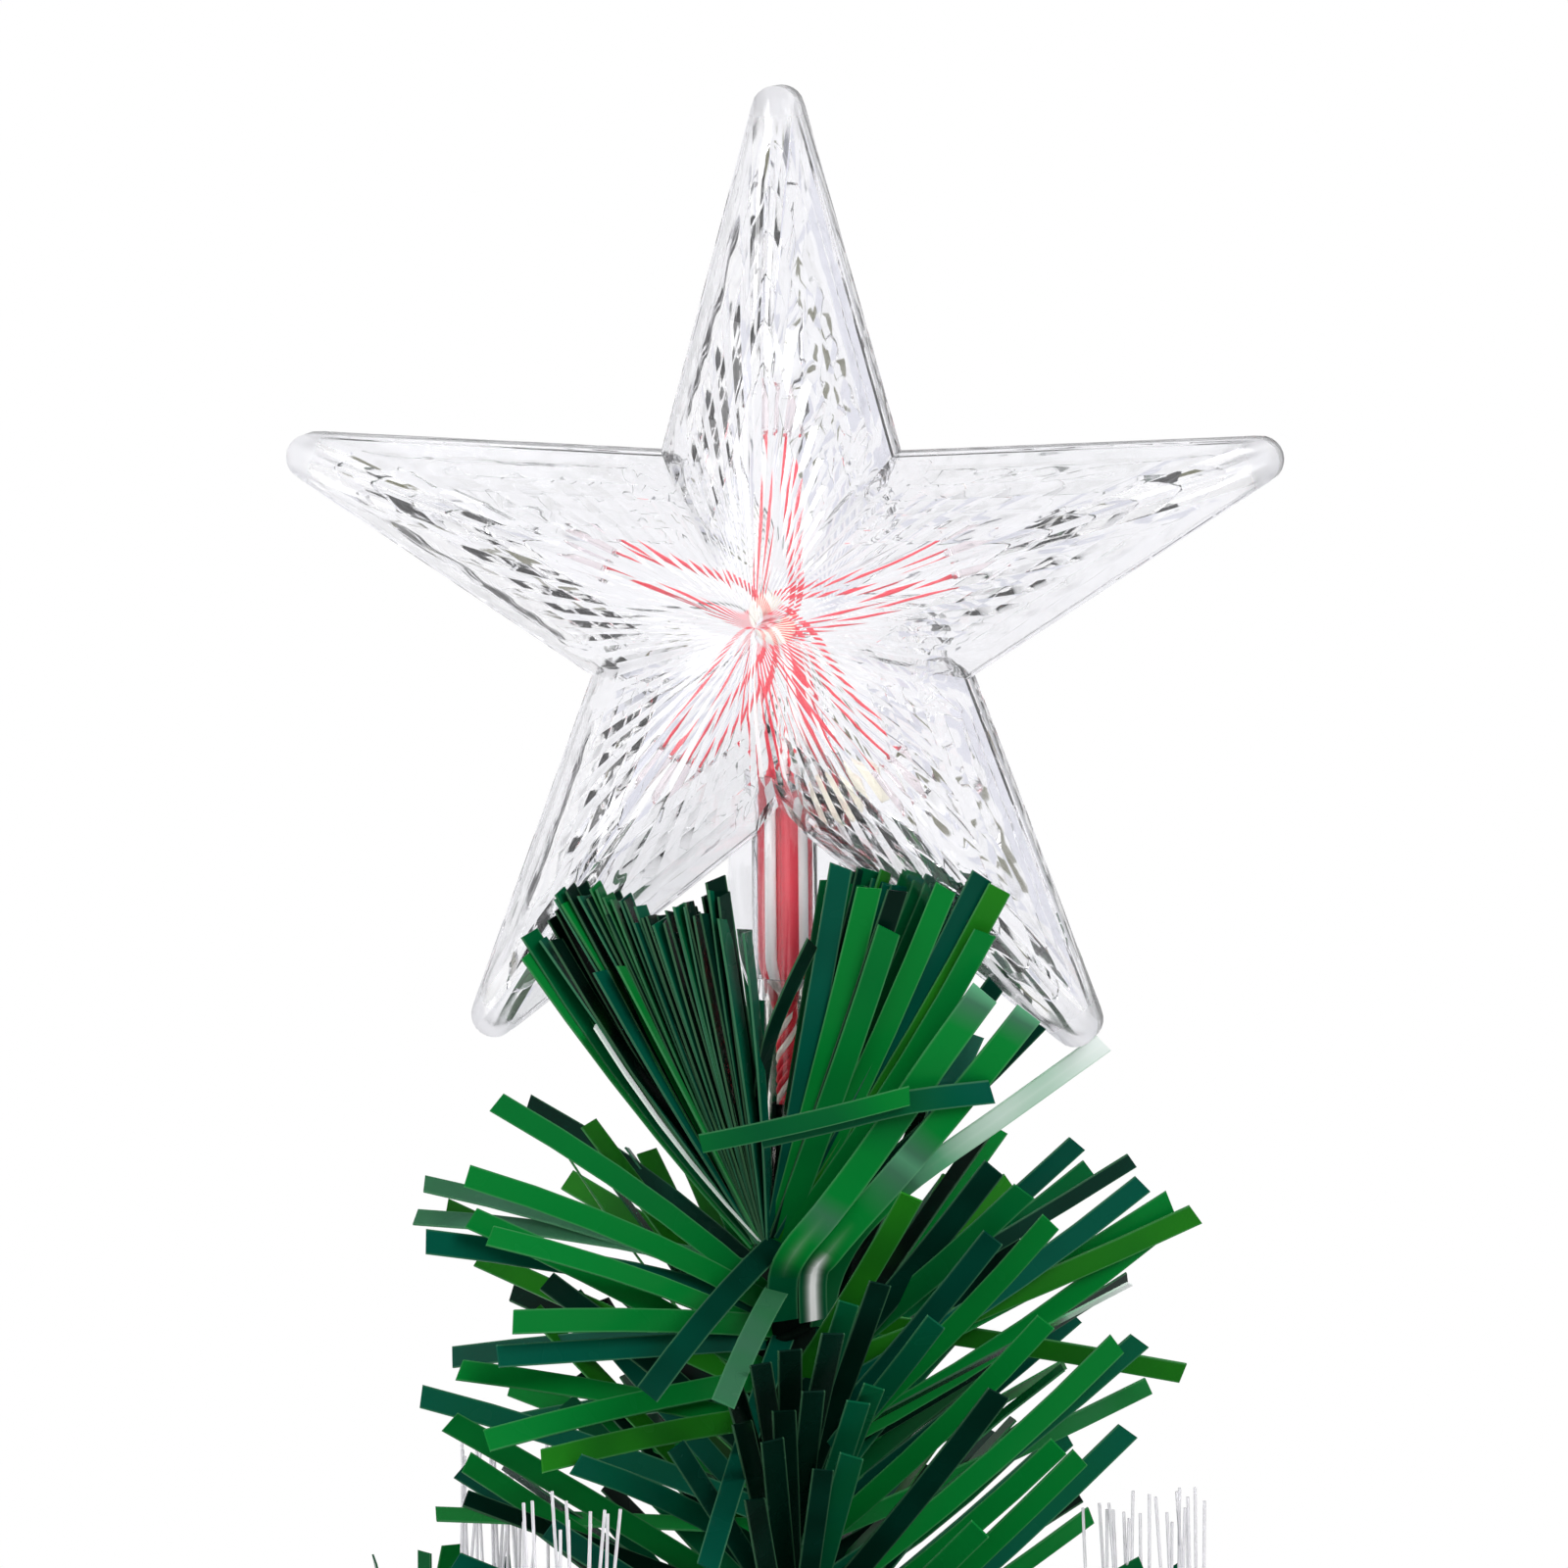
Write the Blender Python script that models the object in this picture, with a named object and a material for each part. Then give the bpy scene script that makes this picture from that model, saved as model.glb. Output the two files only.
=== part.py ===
"""Table-top fibre optic Christmas tree, 0.9 m tall, on a round base with a lamp and a colour wheel.

A hollow trunk stands in the base and carries four collars with hinged branches. A bundle of clear
fibres runs up the trunk from the lamp. The top pole carries a brush of needle strips and a clear
ribbed star, lit by a cluster of small lamps.

Metres, +Z up. The origin is the centre of the base on the surface that the tree stands on.
"""

import math

import bmesh
import bpy
from mathutils import Matrix, Vector

# Clearances and meshing
GAP = 0.0003
OVERRUN = 0.003
WELD = 0.000002
SMOOTH_ANGLE = math.radians(35)
ROUND_STEPS = 20
SMALL_STEPS = 12
PIN_STEPS = 8

# Base: a round shell with a domed top and a socket for the trunk
BASE_RADIUS = 0.095
BASE_HEIGHT = 0.100
BASE_WALL = 0.0025
BASE_SIDE_SHARE = 0.38
BASE_DOME_SHARE = 0.40
BASE_SHOULDER_RADIUS = 0.040
BASE_EDGE_HEIGHT = 0.003
BASE_STEPS = 32
DOME_STEPS = 4
NECK_RADIUS = 0.017
NECK_FOOT_LIFT = 0.002
SOCKET_CLEARANCE = 0.0004
SOCKET_DEPTH = 0.038
SOCKET_WALL = 0.003
LEDGE_THICKNESS = 0.004
LEDGE_WIDTH = 0.0029
VENT_COUNT = 20
VENT_WIDTH = 0.0024
VENT_LENGTH = 0.016
VENT_RADIUS = 0.068

# Floor plate, foot ring and ballast
FOOT_RING_INSET = 0.010
FOOT_RING_WIDTH = 0.010
FOOT_RING_HEIGHT = 0.004
FLOOR_THICKNESS = 0.0025
FLOOR_VENT_COUNT = 8
FLOOR_VENT_WIDTH = 0.004
FLOOR_VENT_LENGTH = 0.016
FLOOR_VENT_RADIUS = 0.062
BALLAST_THICKNESS = 0.006
BALLAST_EDGE_CLEARANCE = 0.017
BALLAST_LAMP_CLEARANCE = 0.011

# Lamp under the foot of the fibre bundle
LAMP_FOOT_RADIUS = 0.015
LAMP_FOOT_THICKNESS = 0.002
LAMP_STEM_RADIUS = 0.009
LAMP_STEM_SHARE = 0.535
LAMP_CUP_RADIUS = 0.0125
LAMP_LEDGE_GAP = 0.0079
LAMP_RIM = 0.0012
LAMP_BULB_RADIUS = 0.003

# Colour wheel and its motor
WHEEL_RADIUS = 0.042
WHEEL_THICKNESS = 0.0015
WHEEL_OFFSET = 0.030
WHEEL_LAMP_GAP = 0.005
WHEEL_HUB_RADIUS = 0.005
WHEEL_HUB_HEIGHT = 0.004
MOTOR_RADIUS = 0.016
MOTOR_HEIGHT = 0.016
MOTOR_SHAFT_RADIUS = 0.002
MOTOR_EAR_WIDTH = 0.007
MOTOR_EAR_THICKNESS = 0.002
MOTOR_POST_RADIUS = 0.003
MOTOR_POST_OFFSET = 0.021
MOTOR_WHEEL_GAP = 0.005

# Fittings on the side of the base
FITTING_HEIGHT = 0.022
JACK_BARREL_RADIUS = 0.0047
JACK_FLANGE_RADIUS = 0.007
JACK_FLANGE_THICKNESS = 0.0036
JACK_WALL_GAP = 0.001
JACK_LENGTH = 0.016
JACK_STAND_OUT = 0.001
JACK_BORE_RADIUS = 0.0033
JACK_BORE_DEPTH = 0.009
JACK_PIN_RADIUS = 0.00105
JACK_PIN_SHORT = 0.002
SWITCH_AZIMUTH = math.radians(118)
SWITCH_WIDTH = 0.012
SWITCH_HEIGHT = 0.018
SWITCH_DEPTH = 0.015
SWITCH_FLANGE = 0.0015
SWITCH_FLANGE_THICKNESS = 0.0018
SWITCH_WALL = 0.0010
SWITCH_POCKET_DEPTH = 0.0085
ROCKER_PIVOT_DEPTH = 0.004
ROCKER_HALF_HEIGHT = 0.0064
ROCKER_HALF_FOOT = 0.0040
ROCKER_DIP = 0.0036
ROCKER_RISE = 0.0050
ROCKER_DROP = 0.0020
ROCKER_TILT = math.radians(10)
CLAMP_RADIUS = 0.0025
CLAMP_KNOB_RADIUS = 0.008
CLAMP_KNOB_THICKNESS = 0.006
CLAMP_KNOB_GAP = 0.004
KNOB_FLUTES = 8
KNOB_FLUTE_SHARE = 0.88

# Trunk, ferrule and fibre bundle
TRUNK_RADIUS = 0.011
TRUNK_WALL = 0.0012
TRUNK_LENGTH = 0.559
FERRULE_FLANGE_HEIGHT = 0.0037
FERRULE_PLUG_HEIGHT = 0.008
BUNDLE_RADIUS = 0.008
BUNDLE_BORE_RADIUS = 0.0018
BUNDLE_RADIUS_SHARES = (1.0, 0.8, 0.62, 0.45)
BUNDLE_TAPER_LENGTH = 0.012
BUNDLE_TOP_GAP = 0.007

# Collars with hinge ears, one for each tier of branches
COLLAR_WALL = 0.0037
COLLAR_HEIGHT = 0.016
COLLAR_ARC = math.radians(13)
EAR_REACH = 0.015
EAR_THICKNESS = 0.003
EAR_ROUNDING = 0.0055
EAR_ROUNDING_STEPS = 2
HINGE_REACH = 0.010
HINGE_PIN_RADIUS = 0.0015
WINDOW_WIDTH = 0.006
WINDOW_HEIGHT = 0.010
WINDOW_LIFT = 0.001

# Branches: hinge fitting and bare wire, then a needled part with side twigs
BRANCH_REACH = 0.235
ARM_WIDTH = 0.006
ARM_SIDE_CLEARANCE = 0.0004
ARM_EYE_RADIUS = 0.0045
ARM_UPPER_TURNS = tuple(math.radians(angle) for angle in (42, 72, 102))
ARM_BACK_TURNS = tuple(math.radians(angle) for angle in (160, 185))
ARM_LOWER_TURNS = tuple(math.radians(angle) for angle in (262, 292))
ARM_SHANK_REACH = 0.012
ARM_WIRE_RADIUS = 0.00225
ARM_SHARE = 0.38
ARM_STOP_TOP = 0.0034
ARM_STOP_FOOT = 0.0069
TWIG_WIDTH = 0.0032
TWIG_END = 0.004
NEEDLE_WIDTH = 0.0034
NEEDLE_THICKNESS = 0.0006
NEEDLE_LENGTH = 0.044
NEEDLE_LEAN = math.radians(40)
FIBRE_WIDTH = 0.0009
FIBRE_LENGTH = 0.056
FIBRE_LEAN = math.radians(14)
FORK_ANGLE = math.radians(38)
FORK_LIFT_SHARE = 0.10
TIP_LIFT_SHARE = 0.05
RING_SHARE = 0.90
TWIG_RING_SHARE = 0.72

# Each tier: height on the trunk and reach as shares, rest angle, first azimuth and number of
# branches, and its forks as (share of the reach, share of the reach that its twigs have)
TIER_HEIGHT_SHARES = (0.213, 0.44, 0.67, 0.93)
TIER_REACH_SHARES = (1.0, 0.85, 0.68, 0.37)
TIER_ANGLES = tuple(math.radians(angle) for angle in (12, 18, 25, 38))
TIER_AZIMUTHS = tuple(math.radians(angle) for angle in (0, 45, 0, 30))
TIER_COUNTS = (6, 4, 4, 3)
TIER_FORK_SHARES = (
    ((0.47, 0.42), (0.70, 0.30)),
    ((0.47, 0.42), (0.70, 0.30)),
    ((0.52, 0.42),),
    ((0.50, 0.42),),
)

# Top pole with the brush round it
POLE_RADIUS = 0.004
POLE_LENGTH = 0.1077
POLE_BORE_RADIUS = 0.0018
POLE_TIP_RADIUS = 0.0023
POLE_TIP_LENGTH = 0.016
POLE_PLUG_LENGTH = 0.018
POLE_FLANGE_RADIUS = 0.012
POLE_FLANGE_THICKNESS = 0.003
BRUSH_CORE_RADIUS = 0.0062
BRUSH_FOOT_GAP = 0.004
BRUSH_FACES = 12
BRUSH_ROWS = 7
BRUSH_ROW_TILTS = tuple(math.radians(angle) for angle in (12, 16, 21, 26, 31, 36, 41))
BRUSH_NEEDLE_LENGTH = 0.047
CROWN_ROWS = 2
CROWN_ROW_GAP = 0.0015
CROWN_SIDE_TILT = math.radians(22)
CROWN_FRONT_TILT = math.radians(62)
CROWN_ROW_STEP = math.radians(6)
CROWN_NEEDLE_LENGTH = 0.050

# Star and its stem tube
STEM_RADIUS = 0.0032
STEM_WALL = 0.0006
STEM_LENGTH = 0.058
STAR_POINTS = 5
STAR_TIP_RADIUS = 0.0857
STAR_NOTCH_RADIUS = 0.0291
STAR_TIP_ROUNDING = 0.0034
STAR_TIP_ARC_POINTS = 5
STAR_EDGE_STEPS = 6
STAR_HALF_DEPTH = 0.022
STAR_SIDE_DEPTH = 0.003
STAR_WALL = 0.0018
STAR_RIB_HEIGHT = 0.0007
STAR_PROFILE_POWER = 1.6
STAR_RING_SHARES = (0.70, 0.36)
SPOUT_RADIUS = 0.0048
SPOUT_LENGTH = 0.027
SPOUT_INNER_REACH = 0.006
WIRE_PASSAGE_RADIUS = 0.0025
LAMP_HUB_RADIUS = 0.007
LAMP_HUB_THICKNESS = 0.003
STAR_LAMP_REACH = 0.030
STAR_LAMP_RADIUS = 0.0025
STAR_LAMP_LENGTH = 0.008
STAR_LAMP_TIP_SHARE = 0.7
STAR_LEG_RADIUS = 0.0012

# Wires to the star, side by side in the trunk and twisted where they show
WIRE_RADIUS = 0.00055
WIRE_OFFSET = 0.00075
WIRE_TURNS = 1.25
WIRE_TURN_STEPS = 11

# Sizes and heights that follow from the sizes above
BASE_SIDE_HEIGHT = BASE_SIDE_SHARE * BASE_HEIGHT
BASE_DOME_HEIGHT = BASE_DOME_SHARE * BASE_HEIGHT
BASE_DOME_TOP = BASE_SIDE_HEIGHT + BASE_DOME_HEIGHT
NECK_FOOT = BASE_DOME_TOP + NECK_FOOT_LIFT
CLAMP_HEIGHT = NECK_FOOT + CLAMP_KNOB_RADIUS
FOOT_RING_RADIUS = BASE_RADIUS - FOOT_RING_INSET
BALLAST_ROOM = BASE_RADIUS - BALLAST_EDGE_CLEARANCE - LAMP_FOOT_RADIUS - BALLAST_LAMP_CLEARANCE
BALLAST_RADIUS = BALLAST_ROOM / 2
BALLAST_OFFSET = BASE_RADIUS - BALLAST_EDGE_CLEARANCE - BALLAST_RADIUS
FLOOR_HEIGHT = FOOT_RING_HEIGHT + GAP
FLOOR_TOP = FLOOR_HEIGHT + FLOOR_THICKNESS
LEDGE_TOP = BASE_HEIGHT - SOCKET_DEPTH
LEDGE_FOOT = LEDGE_TOP - LEDGE_THICKNESS
FERRULE_FOOT = LEDGE_TOP + GAP
TRUNK_FOOT = FERRULE_FOOT + FERRULE_FLANGE_HEIGHT + GAP
TRUNK_TOP = TRUNK_FOOT + TRUNK_LENGTH
TRUNK_BORE = TRUNK_RADIUS - TRUNK_WALL
LAMP_FOOT = FLOOR_TOP + GAP
LAMP_TOP = LEDGE_FOOT - LAMP_LEDGE_GAP
WHEEL_FOOT = LAMP_TOP + WHEEL_LAMP_GAP
MOTOR_TOP = WHEEL_FOOT - WHEEL_HUB_HEIGHT - MOTOR_WHEEL_GAP
MOTOR_FOOT = MOTOR_TOP - MOTOR_HEIGHT
COLLAR_BORE = TRUNK_RADIUS + GAP
COLLAR_RADIUS = COLLAR_BORE + COLLAR_WALL
HINGE_RADIUS = TRUNK_RADIUS + HINGE_REACH
TIER_HEIGHTS = tuple(TRUNK_FOOT + share * TRUNK_LENGTH for share in TIER_HEIGHT_SHARES)
TIER_REACHES = tuple(share * BRANCH_REACH for share in TIER_REACH_SHARES)
POLE_FOOT = TRUNK_TOP + GAP
POLE_SHOULDER = POLE_FOOT + POLE_FLANGE_THICKNESS + POLE_LENGTH
POLE_TOP = POLE_SHOULDER + POLE_TIP_LENGTH
STEM_FOOT = POLE_SHOULDER + GAP
STEM_TOP = STEM_FOOT + STEM_LENGTH
STAR_HEIGHT = STEM_TOP + GAP + STAR_NOTCH_RADIUS


def clear_scene():
    """Remove what the file holds before the tree is built."""
    for old in list(bpy.data.objects):
        bpy.data.objects.remove(old, do_unlink=True)


def make_material(name, colour, roughness, metallic=0.0, transmission=0.0):
    """Principled material in one colour."""
    material = bpy.data.materials.new(name)
    material.use_nodes = True
    shader = material.node_tree.nodes["Principled BSDF"]
    shader.inputs["Base Color"].default_value = (*colour, 1.0)
    shader.inputs["Roughness"].default_value = roughness
    shader.inputs["Metallic"].default_value = metallic
    shader.inputs["Transmission Weight"].default_value = transmission
    material.diffuse_color = (*colour, 1.0)
    return material


def to_mesh(name, bm, material):
    """Turn a finished bmesh into a mesh that is smooth but for its sharp edges."""
    bmesh.ops.recalc_face_normals(bm, faces=bm.faces)
    mesh = bpy.data.meshes.new(name)
    bm.to_mesh(mesh)
    bm.free()
    mesh.materials.append(material)
    mesh.shade_smooth()
    mesh.set_sharp_from_angle(angle=SMOOTH_ANGLE)
    return mesh


def place(name, data, parent=None, location=(0, 0, 0), turn=0.0):
    """Link an object that shows the given mesh or curve."""
    placed = bpy.data.objects.new(name, data)
    placed.parent = parent
    placed.location = location
    placed.rotation_euler = (0, 0, turn)
    bpy.context.scene.collection.objects.link(placed)
    return placed


def add_boolean(target, tool_bm, operation):
    """Cut a hidden tool from an object, or join it, with a live Boolean modifier."""
    bmesh.ops.recalc_face_normals(tool_bm, faces=tool_bm.faces)
    mesh = bpy.data.meshes.new(target.name + "_tool")
    tool_bm.to_mesh(mesh)
    tool_bm.free()
    tool = place(mesh.name, mesh, parent=target)
    tool.hide_render = True
    tool.display_type = "WIRE"
    modifier = target.modifiers.new(operation.title(), "BOOLEAN")
    modifier.operation = operation
    modifier.solver = "EXACT"
    modifier.object = tool


def bake(source):
    """Mesh of an object with its modifiers applied, for the copies that share it."""
    bpy.context.view_layer.update()
    graph = bpy.context.evaluated_depsgraph_get()
    mesh = bpy.data.meshes.new_from_object(source.evaluated_get(graph))
    mesh.name = source.name
    for tool in list(source.children):
        bpy.data.objects.remove(tool, do_unlink=True)
    bpy.data.objects.remove(source, do_unlink=True)
    mesh.set_sharp_from_angle(angle=SMOOTH_ANGLE)
    return mesh


def stamp(bm, part, matrix):
    """Copy a part's bmesh into another one at a placed matrix."""
    mesh = bpy.data.meshes.new("stamp")
    part.to_mesh(mesh)
    mesh.transform(matrix)
    bm.from_mesh(mesh)
    bpy.data.meshes.remove(mesh)


def turned(profile, steps):
    """Solid turned round Z from an outline of (radius, height) points."""
    bm = bmesh.new()
    verts = [bm.verts.new((radius, 0, height)) for radius, height in profile]
    edges = [bm.edges.new(pair) for pair in zip(verts, verts[1:])]
    if profile[0][0] > 0:
        edges.append(bm.edges.new((verts[-1], verts[0])))
    bmesh.ops.spin(bm, geom=verts + edges, axis=(0, 0, 1), angle=math.tau, steps=steps)
    bmesh.ops.remove_doubles(bm, verts=bm.verts, dist=WELD)
    bmesh.ops.recalc_face_normals(bm, faces=bm.faces)
    return bm


def rod(start, end, radius, steps):
    """Round rod between two points."""
    bm = bmesh.new()
    start = Vector(start)
    axis = Vector(end) - start
    turn = axis.to_track_quat("Z", "Y").to_matrix().to_4x4()
    matrix = Matrix.Translation(start + axis / 2) @ turn
    bmesh.ops.create_cone(
        bm,
        cap_ends=True,
        segments=steps,
        radius1=radius,
        radius2=radius,
        depth=axis.length,
        matrix=matrix,
    )
    return bm


def block(low, high):
    """Box between two opposite corners."""
    bm = bmesh.new()
    low = Vector(low)
    size = Vector(high) - low
    matrix = Matrix.Translation(low + size / 2) @ Matrix.Diagonal((*size, 1))
    bmesh.ops.create_cube(bm, size=1, matrix=matrix)
    return bm


def prism(outline, foot, height):
    """Upright solid over an outline of (x, y) points."""
    bm = bmesh.new()
    face = bm.faces.new([bm.verts.new((x, y, foot)) for x, y in outline])
    raised = bmesh.ops.extrude_face_region(bm, geom=[face])["geom"]
    verts = [item for item in raised if isinstance(item, bmesh.types.BMVert)]
    bmesh.ops.translate(bm, verts=verts, vec=(0, 0, height))
    bmesh.ops.recalc_face_normals(bm, faces=bm.faces)
    return bm


def about_z(angle, radius=0.0, height=0.0):
    """Matrix that turns a part about Z and then moves it outward and up."""
    moved = Matrix.Translation((radius, 0, height))
    return Matrix.Rotation(angle, 4, "Z") @ moved


def copies_round(part, count, first=0.0, radius=0.0, height=0.0):
    """Evenly spaced copies of a part round Z in one bmesh."""
    bm = bmesh.new()
    for index in range(count):
        stamp(bm, part, about_z(first + math.tau * index / count, radius, height))
    part.free()
    return bm


def polar(radius, angle):
    """Point on a circle round the origin."""
    return radius * math.cos(angle), radius * math.sin(angle)


# Base


def dome_line(radius_in, height_in):
    """Quarter ellipse of the dome, from its side up to its shoulder, set in by a wall."""
    points = []
    for step in range(DOME_STEPS + 1):
        angle = math.pi / 2 * step / DOME_STEPS
        span = BASE_RADIUS - radius_in - BASE_SHOULDER_RADIUS
        radius = BASE_SHOULDER_RADIUS + span * math.cos(angle)
        rise = (BASE_DOME_HEIGHT - height_in) * math.sin(angle)
        points.append((radius, BASE_SIDE_HEIGHT + rise))
    return points


def make_base_shell(material):
    """Domed shell with the trunk socket hanging inside its neck."""
    socket = TRUNK_RADIUS + SOCKET_CLEARANCE
    outer = [(NECK_RADIUS, BASE_HEIGHT), (NECK_RADIUS, NECK_FOOT)]
    outer += reversed(dome_line(0, 0))
    outer.append((BASE_RADIUS, BASE_EDGE_HEIGHT))
    inner = [(BASE_RADIUS - BASE_WALL, BASE_EDGE_HEIGHT)]
    inner += dome_line(BASE_WALL, BASE_WALL)
    inner.append((socket + SOCKET_WALL, BASE_DOME_TOP - BASE_WALL))
    inner.append((socket + SOCKET_WALL, LEDGE_FOOT))
    inner.append((socket - LEDGE_WIDTH, LEDGE_FOOT))
    inner.append((socket - LEDGE_WIDTH, LEDGE_TOP))
    inner.append((socket, LEDGE_TOP))
    inner.append((socket, BASE_HEIGHT))
    shell = place("base_shell", to_mesh("base_shell", turned(outer + inner, BASE_STEPS), material))

    half_vent = VENT_WIDTH / 2
    vent = block(
        (VENT_RADIUS - VENT_LENGTH / 2, -half_vent, BASE_SIDE_HEIGHT + BASE_WALL),
        (VENT_RADIUS + VENT_LENGTH / 2, half_vent, BASE_HEIGHT),
    )
    vents = copies_round(vent, VENT_COUNT, first=math.pi / VENT_COUNT)
    add_boolean(shell, vents, "DIFFERENCE")

    clamp_hole = rod(
        (-NECK_RADIUS - OVERRUN, 0, CLAMP_HEIGHT),
        (-TRUNK_RADIUS + OVERRUN, 0, CLAMP_HEIGHT),
        CLAMP_RADIUS + GAP,
        SMALL_STEPS,
    )
    add_boolean(shell, clamp_hole, "DIFFERENCE")

    jack_hole = rod(
        (0, BASE_RADIUS - BASE_WALL - OVERRUN, FITTING_HEIGHT),
        (0, BASE_RADIUS + OVERRUN, FITTING_HEIGHT),
        JACK_BARREL_RADIUS + GAP,
        SMALL_STEPS,
    )
    add_boolean(shell, jack_hole, "DIFFERENCE")

    half_width = SWITCH_WIDTH / 2 + GAP
    half_height = SWITCH_HEIGHT / 2 + GAP
    switch_hole = block(
        (BASE_RADIUS - BASE_WALL - OVERRUN, -half_width, FITTING_HEIGHT - half_height),
        (BASE_RADIUS + OVERRUN, half_width, FITTING_HEIGHT + half_height),
    )
    bmesh.ops.rotate(
        switch_hole,
        verts=switch_hole.verts,
        matrix=Matrix.Rotation(SWITCH_AZIMUTH, 3, "Z"),
    )
    add_boolean(shell, switch_hole, "DIFFERENCE")


def make_base_floor(material):
    """Floor plate with air slots and two posts for the motor."""
    radius = BASE_RADIUS - BASE_WALL - GAP
    plate = [(0, FLOOR_TOP), (radius, FLOOR_TOP), (radius, FLOOR_HEIGHT), (0, FLOOR_HEIGHT)]
    floor = place("base_floor", to_mesh("base_floor", turned(plate, BASE_STEPS), material))
    posts = bmesh.new()
    for side in (-1, 1):
        place_of_post = (WHEEL_OFFSET, side * MOTOR_POST_OFFSET)
        post = rod(
            (*place_of_post, FLOOR_TOP - FLOOR_THICKNESS / 2),
            (*place_of_post, MOTOR_FOOT - GAP),
            MOTOR_POST_RADIUS,
            SMALL_STEPS,
        )
        stamp(posts, post, Matrix())
        post.free()
    add_boolean(floor, posts, "UNION")
    half_slot = FLOOR_VENT_WIDTH / 2
    slot = block(
        (FLOOR_VENT_RADIUS - FLOOR_VENT_LENGTH / 2, -half_slot, FLOOR_HEIGHT - OVERRUN),
        (FLOOR_VENT_RADIUS + FLOOR_VENT_LENGTH / 2, half_slot, FLOOR_TOP + OVERRUN),
    )
    slots = copies_round(slot, FLOOR_VENT_COUNT, first=math.pi / FLOOR_VENT_COUNT)
    add_boolean(floor, slots, "DIFFERENCE")


def make_foot_ring(material):
    """Soft ring that the base stands on."""
    bore = FOOT_RING_RADIUS - FOOT_RING_WIDTH
    profile = [
        (FOOT_RING_RADIUS, FOOT_RING_HEIGHT),
        (FOOT_RING_RADIUS, 0),
        (bore, 0),
        (bore, FOOT_RING_HEIGHT),
    ]
    place("foot_ring", to_mesh("foot_ring", turned(profile, BASE_STEPS), material))


def make_ballast(material):
    """Steel disc opposite the motor."""
    foot = (-BALLAST_OFFSET, 0, FLOOR_TOP + GAP)
    top = (-BALLAST_OFFSET, 0, FLOOR_TOP + GAP + BALLAST_THICKNESS)
    disc = rod(foot, top, BALLAST_RADIUS, ROUND_STEPS)
    place("ballast_plate", to_mesh("ballast_plate", disc, material))


def make_lamp(material):
    """Lamp on its foot, with a bulb in an open reflector cup."""
    stem_top = LAMP_FOOT + LAMP_STEM_SHARE * (LAMP_TOP - LAMP_FOOT)
    bulb = LAMP_BULB_RADIUS
    profile = [
        (0, stem_top + 2 * bulb),
        (bulb, stem_top + bulb),
        (bulb, stem_top),
        (LAMP_CUP_RADIUS - LAMP_RIM, LAMP_TOP),
        (LAMP_CUP_RADIUS, LAMP_TOP),
        (LAMP_STEM_RADIUS, stem_top - bulb),
        (LAMP_STEM_RADIUS, LAMP_FOOT + LAMP_FOOT_THICKNESS),
        (LAMP_FOOT_RADIUS, LAMP_FOOT + LAMP_FOOT_THICKNESS),
        (LAMP_FOOT_RADIUS, LAMP_FOOT),
        (0, LAMP_FOOT),
    ]
    place("lamp_module", to_mesh("lamp_module", turned(profile, ROUND_STEPS), material))


def make_motor(material):
    """Slow motor with two ears on the floor's posts and an upright shaft."""
    body = [
        (0, WHEEL_FOOT + WHEEL_THICKNESS),
        (MOTOR_SHAFT_RADIUS, WHEEL_FOOT + WHEEL_THICKNESS),
        (MOTOR_SHAFT_RADIUS, MOTOR_TOP),
        (MOTOR_RADIUS, MOTOR_TOP),
        (MOTOR_RADIUS, MOTOR_FOOT),
        (0, MOTOR_FOOT),
    ]
    mesh = to_mesh("wheel_motor", turned(body, ROUND_STEPS), material)
    motor = place("wheel_motor", mesh, location=(WHEEL_OFFSET, 0, 0))
    reach = MOTOR_POST_OFFSET + MOTOR_POST_RADIUS
    ears = block(
        (-MOTOR_EAR_WIDTH / 2, -reach, MOTOR_FOOT),
        (MOTOR_EAR_WIDTH / 2, reach, MOTOR_FOOT + MOTOR_EAR_THICKNESS),
    )
    add_boolean(motor, ears, "UNION")


def make_wheel(material):
    """Colour wheel that turns over the lamp, with its hub on the motor's shaft."""
    bore = MOTOR_SHAFT_RADIUS + GAP
    top = WHEEL_FOOT + WHEEL_THICKNESS
    profile = [
        (bore, top),
        (WHEEL_RADIUS, top),
        (WHEEL_RADIUS, WHEEL_FOOT),
        (WHEEL_HUB_RADIUS, WHEEL_FOOT),
        (WHEEL_HUB_RADIUS, WHEEL_FOOT - WHEEL_HUB_HEIGHT),
        (bore, WHEEL_FOOT - WHEEL_HUB_HEIGHT),
    ]
    mesh = to_mesh("colour_wheel", turned(profile, ROUND_STEPS), material)
    place("colour_wheel", mesh, location=(WHEEL_OFFSET, 0, 0))


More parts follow.
